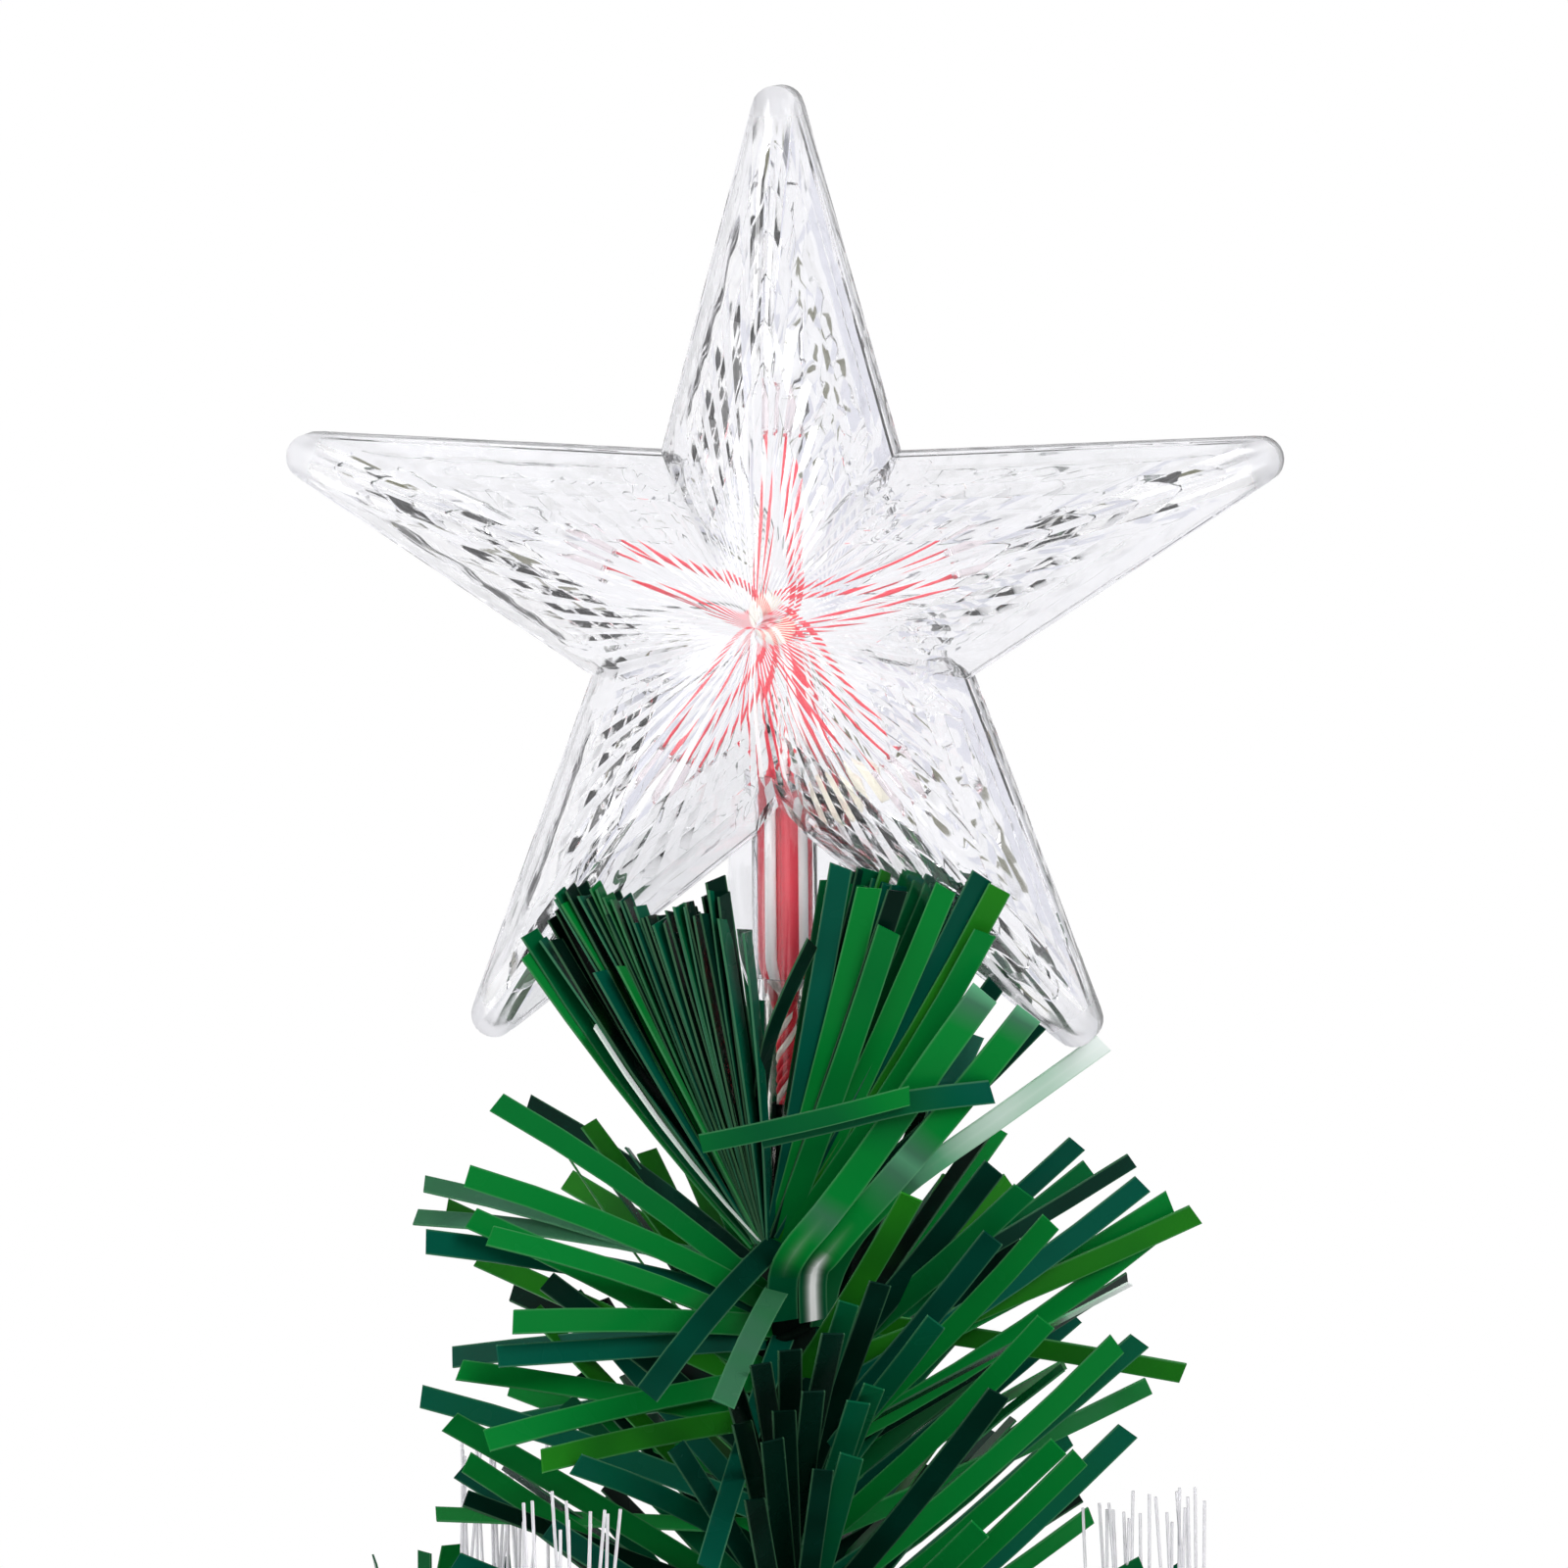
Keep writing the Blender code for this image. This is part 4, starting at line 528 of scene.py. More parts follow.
def bristle_tree():
    """Needle strips set round the stems of a branch, and the twisted stems themselves."""
    tree, start, end = open_tree(
        "Bristled stems",
        (
            ("Spacing", "Float"), ("Length", "Float"), ("Width", "Float"), ("Thickness", "Float"),
            ("Lean", "Float"), ("Stem", "Float"), ("Seed", "Int"), ("Material", "Material")
        )
    )
    add = partial(add_node, tree)
    put = start.outputs
    curve = add("GeometryNodeMeshToCurve", {0: put["Geometry"]})
    marked = add(
        STORE, {"Geometry": curve, "Name": "along", "Value": add("GeometryNodeSplineParameter").outputs[0]},
        domain="POINT"
    )
    points = add("GeometryNodeCurveToPoints", {"Curve": marked, "Length": put["Spacing"]}, mode="LENGTH")
    index = add("GeometryNodeInputIndex")
    # Each strip stands a golden angle on from the last, with some play
    stray = add(RANDOM, {2: -0.4, 3: 0.4, "Seed": put["Seed"]}).outputs[1]
    around = add(MATH, (index, GOLDEN_ANGLE, stray), operation="MULTIPLY_ADD")
    tangent = points.outputs["Tangent"]
    normal = points.outputs["Normal"]
    across = add(VECTOR_MATH, {0: tangent, 1: normal}, operation="CROSS_PRODUCT")
    near = add(
        VECTOR_MATH, {0: normal, "Scale": add(MATH, (around,), operation="COSINE")}, operation="SCALE"
    )
    far = add(VECTOR_MATH, {0: across, "Scale": add(MATH, (around,), operation="SINE")}, operation="SCALE")
    radial = add(VECTOR_MATH, {0: near, 1: far}, operation="ADD")
    # Strips near the root stand out squarely, and close up toward the tip
    squarer = add(MATH, (add(ATTRIBUTE, {"Name": "along"}), -0.55, 0.40), operation="MULTIPLY_ADD")
    lean_seed = add(MATH, (put["Seed"], 1), operation="ADD")
    play = add(RANDOM, {2: -0.22, 3: 0.22, "Seed": lean_seed}).outputs[1]
    lean = add(MATH, (add(MATH, (put["Lean"], squarer), operation="ADD"), play), operation="ADD")
    forward = add(
        VECTOR_MATH, {0: tangent, "Scale": add(MATH, (lean,), operation="COSINE")}, operation="SCALE"
    )
    outward = add(
        VECTOR_MATH, {0: radial, "Scale": add(MATH, (lean,), operation="SINE")}, operation="SCALE"
    )
    heading = add(VECTOR_MATH, {0: forward, 1: outward}, operation="ADD")
    side = add(VECTOR_MATH, {0: tangent, 1: radial}, operation="CROSS_PRODUCT")
    aimed = add("FunctionNodeAxesToRotation", {0: heading, 1: side}, primary_axis="Z", secondary_axis="Y")
    roll_seed = add(MATH, (put["Seed"], 2), operation="ADD")
    roll_angle = add(RANDOM, {2: -0.9, 3: 0.9, "Seed": roll_seed}).outputs[1]
    roll = add("FunctionNodeAxisAngleToRotation", {"Axis": (0, 0, 1), "Angle": roll_angle})
    turned = add("FunctionNodeRotateRotation", {0: aimed, 1: roll}, rotation_space="LOCAL")
    bow = add(
        "GeometryNodeCurveQuadraticBezier",
        {"Resolution": 3, "Start": (0, 0, 0), "Middle": (0.06, 0, 0.5), "End": (0.02, 0, 1)}
    )
    size = add(COMBINE, {0: put["Length"], 1: put["Length"], 2: put["Length"]})
    where = add("GeometryNodeInputPosition")
    scaled = add(VECTOR_MATH, {0: where, 1: size}, operation="MULTIPLY")
    blade = add("GeometryNodeSetPosition", {"Geometry": bow, "Position": scaled})
    faced = add("GeometryNodeSetCurveNormal", {"Curve": blade, "Normal": (1, 0, 0)}, mode="FREE")
    profile = strip_profile(tree, put["Thickness"], put["Width"])
    at_tip = add(MATH, (add("GeometryNodeSplineParameter").outputs[0], 0.99), operation="GREATER_THAN")
    cut = add(
        STORE,
        {
            "Geometry": faced, "Name": "cut",
            "Value": add(COMBINE, {2: add(MATH, (at_tip, TIP_SLANT), operation="MULTIPLY")})
        },
        data_type="FLOAT_VECTOR", domain="POINT"
    )
    strip = add("GeometryNodeCurveToMesh", {"Curve": cut, "Profile Curve": profile, "Fill Caps": True})
    strip = slant_tips(tree, strip)
    reach_seed = add(MATH, (put["Seed"], 3), operation="ADD")
    reach = add(RANDOM, {2: 0.78, 3: 1.06, "Seed": reach_seed}).outputs[1]
    copies = add(
        "GeometryNodeInstanceOnPoints",
        {
            "Points": points, "Instance": strip, "Rotation": turned,
            "Scale": add(COMBINE, {0: reach, 1: 1.0, 2: reach})
        }
    )
    tone_seed = add(MATH, (put["Seed"], 4), operation="ADD")
    tone = add(RANDOM, {2: 0.0, 3: 0.72, "Seed": tone_seed}).outputs[1]
    toned = add(STORE, {"Geometry": copies, "Name": "tone", "Value": tone}, domain="INSTANCE")
    # The stem is a flattened wire turned about its own length, as a twisted pair looks
    place = add("GeometryNodeSplineParameter")
    twisted = add(
        "GeometryNodeSetCurveTilt",
        {"Curve": curve, "Tilt": add(MATH, (place.outputs["Length"], STEM_TWIST), operation="MULTIPLY")}
    )
    wire = add(
        "GeometryNodeCurvePrimitiveQuadrilateral",
        {"Width": put["Stem"], "Height": add(MATH, (put["Stem"], STEM_FLATNESS), operation="MULTIPLY")}
    )
    fine = add("GeometryNodeResampleCurve", {"Curve": twisted, "Length": 0.0012}, mode="LENGTH")
    stem = add("GeometryNodeCurveToMesh", {"Curve": fine, "Profile Curve": wire, "Fill Caps": True})
    dark = add(STORE, {"Geometry": stem, "Name": "tone", "Value": 0.15}, domain="POINT")
    joined = add("GeometryNodeJoinGeometry", {0: toned})
    tree.links.new(dark.outputs[0], joined.inputs[0])
    return close_tree(tree, start, end, joined)


def star_tree():
    """Relief of a star shell: a dome with radial ribs outside and stepped bars inside."""
    tree, start, end = open_tree(
        "Star relief",
        (
            ("Half depth", "Float"), ("Side depth", "Float"), ("Wall", "Float"), ("Ribs", "Int"),
            ("Slope", "Float"), ("Step", "Float"), ("Material", "Material")
        )
    )
    add = partial(add_node, tree)
    put = start.outputs
    share, reach, turn, inner, domed = [add(ATTRIBUTE, {"Name": name}) for name in STAR_LAYERS]
    rise = add(MATH, (put["Half depth"], put["Side depth"]), operation="SUBTRACT")
    radius = add(MATH, (share, reach), operation="MULTIPLY")
    # The crest of each arm is rounded: its flanks stand a little higher than a sharp crest's
    turned = add(MATH, (turn, POINTS, 0.5), operation="MULTIPLY_ADD")
    within = add(MATH, (add(MATH, (turned,), operation="FRACT"), 0.5), operation="SUBTRACT")
    folded = add(MATH, (within,), operation="ABSOLUTE")
    from_crest = add(MATH, (folded, math.tau / POINTS), operation="MULTIPLY")
    beside = add(MATH, (radius, add(MATH, (from_crest,), operation="SINE")), operation="MULTIPLY")
    squared = add(MATH, (beside, beside, CREST_ROUNDING**2), operation="MULTIPLY_ADD")
    rounded = add(MATH, (squared,), operation="SQRT")
    gap = add(MATH, (add(MATH, (beside, rounded), operation="SUBTRACT"), CREST_ROUNDING), operation="ADD")
    rim = add(MAP_RANGE, {"Value": share, "From Min": 1.0, "From Max": 0.8})
    softer = add(MATH, (add(MATH, (gap, FLANK_SLOPE), operation="MULTIPLY"), rim), operation="MULTIPLY")
    crested = add(MATH, (add(MATH, (share, softer), operation="SUBTRACT"), 0.0), operation="MAXIMUM")
    # Round the centre the dome is a plain round one
    plain = add(MATH, (radius, MIDDLE_REACH), operation="DIVIDE")
    outer = add(
        MAP_RANGE, {"Value": share, "From Min": 0.10, "From Max": 0.60}, interpolation_type="SMOOTHSTEP"
    )
    level = add("ShaderNodeMix", {0: outer, 2: plain, 3: crested})
    fall = add(MATH, (1.0, add(MATH, (level, DOME_POWER), operation="POWER")), operation="SUBTRACT")
    dome = add(MATH, (rise, fall, put["Side depth"]), operation="MULTIPLY_ADD")
    # Ribs: flat flanks whose height grows with the distance from the centre. Inside, they are
    # out of step from one row of bars to the next
    rows = add(MATH, (add(MATH, (share, BAR_START), operation="SUBTRACT"), BAR_ROWS), operation="MULTIPLY")
    row = add(MATH, (add(MATH, (rows, 0.0), operation="MAXIMUM"),), operation="FLOOR")
    parity = add(MATH, (row, 2.0), operation="MODULO")
    shift = add(MATH, (add(MATH, (1.0, parity), operation="SUBTRACT"), 0.5), operation="MULTIPLY")
    inner_shift = add(MATH, (inner, shift), operation="MULTIPLY")
    count = add(MATH, (turn, put["Ribs"], inner_shift), operation="MULTIPLY_ADD")
    wave = add(MATH, (add(MATH, (count, 0.5), operation="PINGPONG"), 4.0, -1.0), operation="MULTIPLY_ADD")
    quarter_arc = add(MATH, (radius, math.pi / 2), operation="MULTIPLY")
    half_width = add(MATH, (quarter_arc, put["Ribs"]), operation="DIVIDE")
    height = add(MATH, (half_width, add(MATH, (put["Slope"],), operation="TANGENT")), operation="MULTIPLY")
    rim_fade = add(MAP_RANGE, {"Value": share, "From Min": 0.985, "From Max": 0.90})
    # Only the arms, where the outline is far from the centre, have steps inside
    arm = add(MAP_RANGE, {"Value": reach, "From Min": 0.030, "From Max": 0.040})
    outside = add(MAP_RANGE, {"Value": share, "From Min": 0.42, "From Max": 0.55})
    stepped = add(MATH, (add(MATH, (arm, outside), operation="MULTIPLY"), rim_fade), operation="MULTIPLY")
    amount = add(
        "ShaderNodeMix",
        {0: inner, 2: rim_fade.outputs[0], 3: add(MATH, (stepped, INNER_RIB), operation="MULTIPLY")}
    )
    rib = add(MATH, (add(MATH, (wave, height), operation="MULTIPLY"), amount), operation="MULTIPLY")
    saw = add(MATH, (rows,), operation="FRACT")
    step = add(MATH, (add(MATH, (saw, put["Step"]), operation="MULTIPLY"), stepped), operation="MULTIPLY")
    inset = add(MATH, (inner, add(MATH, (put["Wall"], step), operation="ADD")), operation="MULTIPLY")
    depth = add(MATH, (add(MATH, (dome, rib), operation="ADD"), inset), operation="SUBTRACT")
    shaped = add(MATH, (depth, add(MATH, (domed, -1.0), operation="MULTIPLY")), operation="MULTIPLY")
    offset = add(COMBINE, {1: shaped})
    moved = add("GeometryNodeSetPosition", {"Geometry": put["Geometry"], "Offset": offset})
    return close_tree(tree, start, end, moved)


def tip_cut(points, flat, number, view):
    """How far a tip's corners are cut apart. A view direction makes the cut look square from there."""
    heading = (points[-1] - points[-2]).normalized()
    cut = TIP_SLANT * math.sin(CUT_STEP * number)
    if view:
        edge = heading.cross(flat) * STRIP_WIDTH / 2
        seen = heading - view * heading.dot(view)
        cut = 0.5 * cut - edge.dot(seen) / seen.length_squared
    return heading * cut


def guides(name, lines, view=None):
    """Mesh of open lines. Each line is (points, flat normal, tone, width share, painted highlight if any).
    """
    verts, edges, flats, tones, widths, painted_highlights, cuts = [], [], [], [], [], [], []
    for number, (points, flat, tone, width, *painted_highlight) in enumerate(lines):
        first = len(verts)
        last_flat = flat if isinstance(flat, Vector) else flat[-1]
        cuts += [0.0] * 3 * (len(points) - 1) + list(tip_cut(points, last_flat, number, view))
        painted_highlights += painted_highlight[0] if painted_highlight else [0.0] * len(points)
        verts += [tuple(point) for point in points]
        edges += [(first + step, first + step + 1) for step in range(len(points) - 1)]
        if isinstance(flat, Vector):
            flat = [flat] * len(points)
        flats += [component for normal in flat for component in normal]
        tones += tone if isinstance(tone, list) else [tone] * len(points)
        widths += width if isinstance(width, list) else [width] * len(points)
    mesh = bpy.data.meshes.new(name)
    mesh.from_pydata(verts, edges, [])
    for key, values in (("tone", tones), ("wide", widths), ("painted_highlight", painted_highlights)):
        mesh.attributes.new(key, "FLOAT", "POINT").data.foreach_set("value", values)
    for key, values in (("flat", flats), ("cut", cuts)):
        mesh.attributes.new(key, "FLOAT_VECTOR", "POINT").data.foreach_set("vector", values)
    return mesh


def grow(name, source, tree, **values):
    """Plain mesh object that a tree makes from a source mesh."""
    made = link(name, source)
    modifier = made.modifiers.new(tree.name, "NODES")
    modifier.node_group = tree
    for item in tree.interface.items_tree:
        key = item.name.replace(" ", "_").lower()
        if item.in_out == "INPUT" and key in values:
            modifier[item.identifier] = values[key]
    graph = bpy.context.evaluated_depsgraph_get()
    mesh = bpy.data.meshes.new_from_object(made.evaluated_get(graph))
    made.modifiers.remove(modifier)
    made.data = mesh
    bpy.data.meshes.remove(source)
    return made


# Materials


def clear_polystyrene(name, colour, matt):
    """Injection-moulded clear polystyrene with faint flow marks, frosted tips and its own matt share."""
    material, tree, shader = new_material(name, Base_Color=colour, Transmission_Weight=0.98, IOR=1.47)
    add = partial(add_node, tree)
    flow = grain(tree, 6.0)
    place = add("ShaderNodeTexCoord")
    centred = add(VECTOR_MATH, {0: place.outputs["Object"], 1: (0, 0, STAR_HEIGHT)}, operation="SUBTRACT")
    reach = add(VECTOR_MATH, {0: centred}, operation="LENGTH")
    frost = add(
        MAP_RANGE, {"Value": reach.outputs["Value"], "From Min": 0.0680, "From Max": 0.0735, "To Max": 0.32}
    )
    gloss = add(MATH, (flow, 0.06, matt), operation="MULTIPLY_ADD")
    tree.links.new(add(MATH, (gloss, frost), operation="ADD").outputs[0], shader.inputs["Roughness"])
    emboss(tree, shader, flow, 0.015)
    return material


def finish(name, rough=None, bump=None, shades=None, **values):
    """Material whose gloss, relief and shade drift, each by a grain in millimetres and its range."""
    material, tree, shader = new_material(name, **values)
    if rough:
        roughen(tree, shader, grain(tree, rough[0]), *rough[1:])
    if bump:
        emboss(tree, shader, grain(tree, bump[0]), bump[1])
    if shades:
        shift_colour(tree, shader, grain(tree, shades[0]), *shades[1:])
    return material


def clear_pvc_tube():
    """Extruded clear PVC: a little hazy, with faint draw waves that bend what is behind it."""
    colour = linear("#F2EFEA")
    return finish(
        "clear extruded pvc", (2.5, 0.03, 0.12), (2.5, 0.12), Base_Color=colour, Transmission_Weight=1.0,
        IOR=1.45
    )


def needle_film(bright, deep):
    """Calendered PVC film slit into needles: glossy, each strip of its own green, with painted sheen,
    painted shade, a painted light line on the cut edges and painted highlights.
    """
    material, tree, shader = new_material("slit green pvc film", IOR=1.53, Specular_IOR_Level=0.035)
    add = partial(add_node, tree)
    tone = add("ShaderNodeAttribute", attribute_name="tone")
    cloud = grain(tree, 16.0, 1.0)
    drift = add(MATH, (cloud, 0.10, tone.outputs["Fac"]), operation="MULTIPLY_ADD")
    level = add(MATH, (drift, 0.05), operation="SUBTRACT")
    ramp = add("ShaderNodeValToRGB", {"Fac": level})
    # Stops 0.80 to 1.00 are painted sheen rising to a painted white highlight, and the near-black stop at
    # 0.11 is painted shade for strips deep in the brush
    stops = (
        (0.00, linear("#207418")), (0.06, linear("#125C18")), (0.11, linear("#02110B")),
        (0.17, linear("#03261C")), (0.28, linear("#024D3C")), (0.40, deep), (0.56, bright),
        (0.70, shade(bright, 1.1)), (0.80, linear("#3C6B52")), (0.88, linear("#5CA37A")),
        (1.00, linear("#F4F8F8"))
    )
    set_ramp(ramp, stops)
    # Painted light: a pale line along each cut edge, where the film's thickness would catch the light
    across = add("ShaderNodeAttribute", attribute_name="across")
    to_edge = add(MATH, (across.outputs["Fac"],), operation="ABSOLUTE")
    edge = add(MAP_RANGE, {"Value": to_edge, "From Min": 0.84, "From Max": 0.97, "To Max": 0.30})
    edge_lit_colour = add(
        "ShaderNodeMix", {0: edge, 6: ramp.outputs["Color"], 7: (*linear("#639C72"), 1)}, data_type="RGBA"
    )
    # Painted highlight: white down the middle of a strip where its guide carries painted_highlight, as at
    # the front fold
    painted_highlight = add("ShaderNodeAttribute", attribute_name="painted_highlight")
    middle = add(MATH, (1.0, to_edge), operation="SUBTRACT")
    lit = add(
        MATH, (painted_highlight.outputs["Fac"], add(MATH, (middle, 4.0), operation="POWER")), operation="MULTIPLY"
    )
    shone = add("ShaderNodeMix", {0: lit, 6: edge_lit_colour.outputs[2], 7: (1, 1, 1, 1)}, data_type="RGBA")
    tree.links.new(shone.outputs[2], shader.inputs["Base Color"])
    roughen(tree, shader, grain(tree, 8.0), 0.20, 0.32)
    return material


def clear_fibre(colour):
    """Drawn acrylic fibre: half clear, so that it looks pale and soft against white."""
    shades = (9.0, shade(colour, 0.93), colour)
    return finish("drawn acrylic fibre", shades=shades, Transmission_Weight=0.55, IOR=1.45, Roughness=0.2)


def moulded_plastic(name, colour, size_mm, low, high, depth_mm):
    """Moulded plastic whose fine spark-eroded texture spreads highlights into a soft sheen."""
    shades = (30.0, shade(colour, 0.85), shade(colour, 1.12))
    return finish(name, (size_mm, low, high), (size_mm, depth_mm), shades, IOR=1.5)


def taped_wire():
    """Green paper tape wound round steel wire: matt, with the ridges of the winding."""
    colour = linear("#0D4A22")
    shades = (5.0, shade(colour, 0.7), shade(colour, 1.3))
    return finish("green tape on wire", (0.8, 0.55, 0.8), (0.8, 0.08), shades, IOR=1.45)


def zinc_steel():
    """Zinc-plated pressed steel with a soft brushed look."""
    return finish("zinc-plated steel", (1.0, 0.26, 0.46), Base_Color=linear("#B9BCC2"), Metallic=1.0)


def bright_reflector():
    """Vacuum-metallised reflector: a near mirror with slight haze."""
    return finish("metallised reflector", (4.0, 0.08, 0.2), Base_Color=linear("#E4E6EA"), Metallic=1.0)


def wheel_film():
    """Tinted acetate with four colours in sectors, glossy and see-through."""
    material, tree, shader = new_material(
        "tinted acetate", Transmission_Weight=0.7, IOR=1.47, Roughness=0.12
    )
    add = partial(add_node, tree)
    place = add("ShaderNodeTexCoord")
    centred = add("ShaderNodeMapping", {"Vector": place.outputs["Object"], "Location": (-0.030, 0, 0)})
    parts = add("ShaderNodeSeparateXYZ", {0: centred})
    angle = add(MATH, (parts.outputs[1], parts.outputs[0]), operation="ARCTAN2")
    around = add(MATH, (angle, 1 / math.tau, 0.5), operation="MULTIPLY_ADD")
    ramp = add("ShaderNodeValToRGB", {"Fac": around})
    codes = ("#C8324A", "#3C6FD0", "#3FA45A", "#D9B23A")
    set_ramp(ramp, [(index / 4, linear(code)) for index, code in enumerate(codes)], "CONSTANT")
    tree.links.new(ramp.outputs["Color"], shader.inputs["Base Color"])
    return material


def wire_insulation(name, colour):
    """Soft PVC wire insulation with a satin skin."""
    return finish(name, (0.9, 0.3, 0.5), shades=(6.0, shade(colour, 0.9), colour), IOR=1.5)


def lamp_resin():
    """Water-clear lamp resin, which looks like a bright glassy bead."""
    colour = linear("#F7EEF0")
    return finish(
        "clear lamp resin", (2.0, 0.03, 0.1), Base_Color=colour, Transmission_Weight=0.95, IOR=1.52
    )


def hot_glue():
    """Set glue: milky and soft edged."""
    return finish("milky set glue", (1.5, 0.2, 0.4), (3.0, 0.2), Base_Color=linear("#EAE4D0"), IOR=1.48)


# Star


def star_reach(angle, inset=0.0):
    """Distance from the centre to the star's outline at an angle from the nearest point's axis."""
    half_arm = math.pi / POINTS
    notch_x = NOTCH_RADIUS * math.cos(half_arm)
    notch_y = NOTCH_RADIUS * math.sin(half_arm)
    half_tip = math.atan2(notch_y, POINT_RADIUS - notch_x)
    centre = POINT_RADIUS - POINT_ROUNDING / math.sin(half_tip)
    rounding = POINT_ROUNDING - inset
    tangent = math.atan2(rounding * math.cos(half_tip), centre + rounding * math.sin(half_tip))
    if angle < tangent:
        return centre * math.cos(angle) + math.sqrt(rounding**2 - (centre * math.sin(angle)) ** 2)
    return (POINT_RADIUS * math.sin(half_tip) - inset) / math.sin(angle + half_tip)


def star_columns(rib_count):
    """Angles of the columns: both flanks of every rib, and more where a tip is rounded."""
    flanks = [math.tau * index / (2 * rib_count) for index in range(2 * rib_count)]
    extra = []
    for point in range(POINTS):
        axis = math.tau * point / POINTS
        for degrees in (0.7, 1.3, 1.8, 2.7, 3.4):
            extra += [axis + math.radians(degrees), axis - math.radians(degrees)]
    return sorted(angle % math.tau for angle in flanks + extra)


def star_blank(rib_count, wall):
    """Flat closed star with the attributes that the relief tree reads."""
    columns = star_columns(rib_count)
    outer_shares = [0.04, 0.1, 0.18, 0.27, 0.36, 0.45, 0.54, 0.63, 0.72, 0.81, 0.88, 0.93, 0.96, 0.985, 1]
    inner_shares = [0.04, 0.12, 0.22, 0.32, 0.42]
    for step in range(6):
        edge = BAR_START + step / BAR_ROWS
        inner_shares += [edge - 0.002, edge + 0.002]
    inner_shares += [0.985, 1]
    bm = bmesh.new()
    layers = {key: bm.verts.layers.float.new(key) for key in STAR_LAYERS}

    def vert(angle, share, inner, domed):
        """Vertex of the blank in the star's plane, with the first point straight up."""
        folded = abs((angle + math.pi / POINTS) % (math.tau / POINTS) - math.pi / POINTS)
        reach = star_reach(folded, wall if inner else 0.0)
        y = 0.0 if domed else -PLANE_GAP
        made = bm.verts.new((-math.sin(angle) * reach * share, y, math.cos(angle) * reach * share))
        values = (share, reach, angle / math.tau, float(inner), float(domed))
        for key, value in zip(layers, values):
            made[layers[key]] = value
        return made

    rings = [[vert(angle, 1, True, False) for angle in columns]]
    rings += [[vert(angle, share, True, True) for angle in columns] for share in reversed(inner_shares)]
    outer = [[vert(angle, share, False, True) for angle in columns] for share in outer_shares]
    outer.append([vert(angle, 1, False, False) for angle in columns])
    inner_apex = vert(0, 0, True, True)
    outer_apex = vert(0, 0, False, True)
    for loop in (rings, outer):
        for low, high in zip(loop, loop[1:]):
            for index in range(len(columns)):
                bm.faces.new((low[index - 1], low[index], high[index], high[index - 1]))
    for index in range(len(columns)):
        bm.faces.new((rings[-1][index - 1], rings[-1][index], inner_apex))
        bm.faces.new((outer[0][index], outer[0][index - 1], outer_apex))
        bm.faces.new((outer[-1][index - 1], outer[-1][index], rings[0][index], rings[0][index - 1]))
    return mesh_of("star_blank", bm)


def spout_bore_bm():
    """Stepped bore of the spout: the tube's seat, then the wider passage for the wires."""
    foot = -NOTCH_RADIUS - SPOUT_LENGTH - 0.003
    inside = -NOTCH_RADIUS + SPOUT_INNER_REACH + 0.003
    seat_top = -NOTCH_RADIUS - SPOUT_LENGTH + SPOUT_SEAT_HEIGHT
    profile = [
        (0, inside), (SPOUT_BORE_RADIUS, inside), (SPOUT_BORE_RADIUS, seat_top),
        (SPOUT_SEAT_RADIUS, seat_top), (SPOUT_SEAT_RADIUS, foot), (0, foot)
    ]
    return lathe(profile, 40)


def web_bm():
    """Flat webs that fill the corners between the spout and the lower arms, on one shell's side."""
    bm = bmesh.new()
    for side in (-1, 1):
        rings = []
        for depth in (-PLANE_GAP, -WEB_THICKNESS):
            rings.append([bm.verts.new((side * x, depth, height)) for x, height in WEB_OUTLINE])
        near, far = rings
        bm.faces.new(near)
        bm.faces.new(far)
        for index in range(len(near)):
            bm.faces.new((near[index - 1], near[index], far[index], far[index - 1]))
    return bm


def make_star_shells(settings):
    """Both ribbed half shells with the moulded spout between the lower arms."""
    material = clear_polystyrene("clear moulded polystyrene", settings.tint, 0.0)
    rim = clear_polystyrene("clear moulded polystyrene, matt rim", settings.tint, 0.16)
    blank = star_blank(settings.rib_count, settings.wall)
    shell = grow(
        "star_front", blank, star_tree(), half_depth=settings.half_depth, side_depth=settings.side_depth,
        wall=settings.wall, ribs=settings.rib_count, slope=settings.rib_slope, step=settings.step,
        material=material
    )
    shell.data.materials.append(rim)
    bm = bmesh.new()
    bm.from_mesh(shell.data)
    share = bm.verts.layers.float["share"]
    for face in bm.faces:
        face.material_index = int(min(vert[share] for vert in face.verts) > 0.98)
    bmesh.ops.recalc_face_normals(bm, faces=bm.faces)
    bm.to_mesh(shell.data)
    bm.free()
    foot = -NOTCH_RADIUS - SPOUT_LENGTH
    rod = rod_bm((0, 0, foot), (0, 0, -NOTCH_RADIUS + SPOUT_INNER_REACH), SPOUT_RADIUS, 40)
    half = box_bm((-0.05, -PLANE_GAP, -0.1), (0.05, 0.05, 0.1))
    spout = from_bm("spout", rod)
    cut_or_join(spout, half, "DIFFERENCE")
    half_spout = bmesh.new()
    half_spout.from_mesh(spout.data)
    bpy.data.objects.remove(spout, do_unlink=True)
    cut_or_join(shell, half_spout, "UNION")
    cut_or_join(shell, web_bm(), "UNION")
    cut_or_join(shell, spout_bore_bm(), "DIFFERENCE")
    shell.data.materials.clear()
    shell.data.materials.append(material)
    shell.data.materials.append(rim)
    lift = Matrix.Translation((0, 0, STAR_HEIGHT))
    rear_mesh = shell.data.copy()
    rear_mesh.transform(lift @ Matrix.Rotation(math.pi, 4, "Z"))
    shell.data.transform(lift)
    smooth(shell.data, math.radians(18))
    smooth(rear_mesh, math.radians(18))
    rear = link("star_rear", rear_mesh)
    settle(shell, "star", "clear_star", "star_front_shell")
    settle(rear, "star", "clear_star", "star_rear_shell")


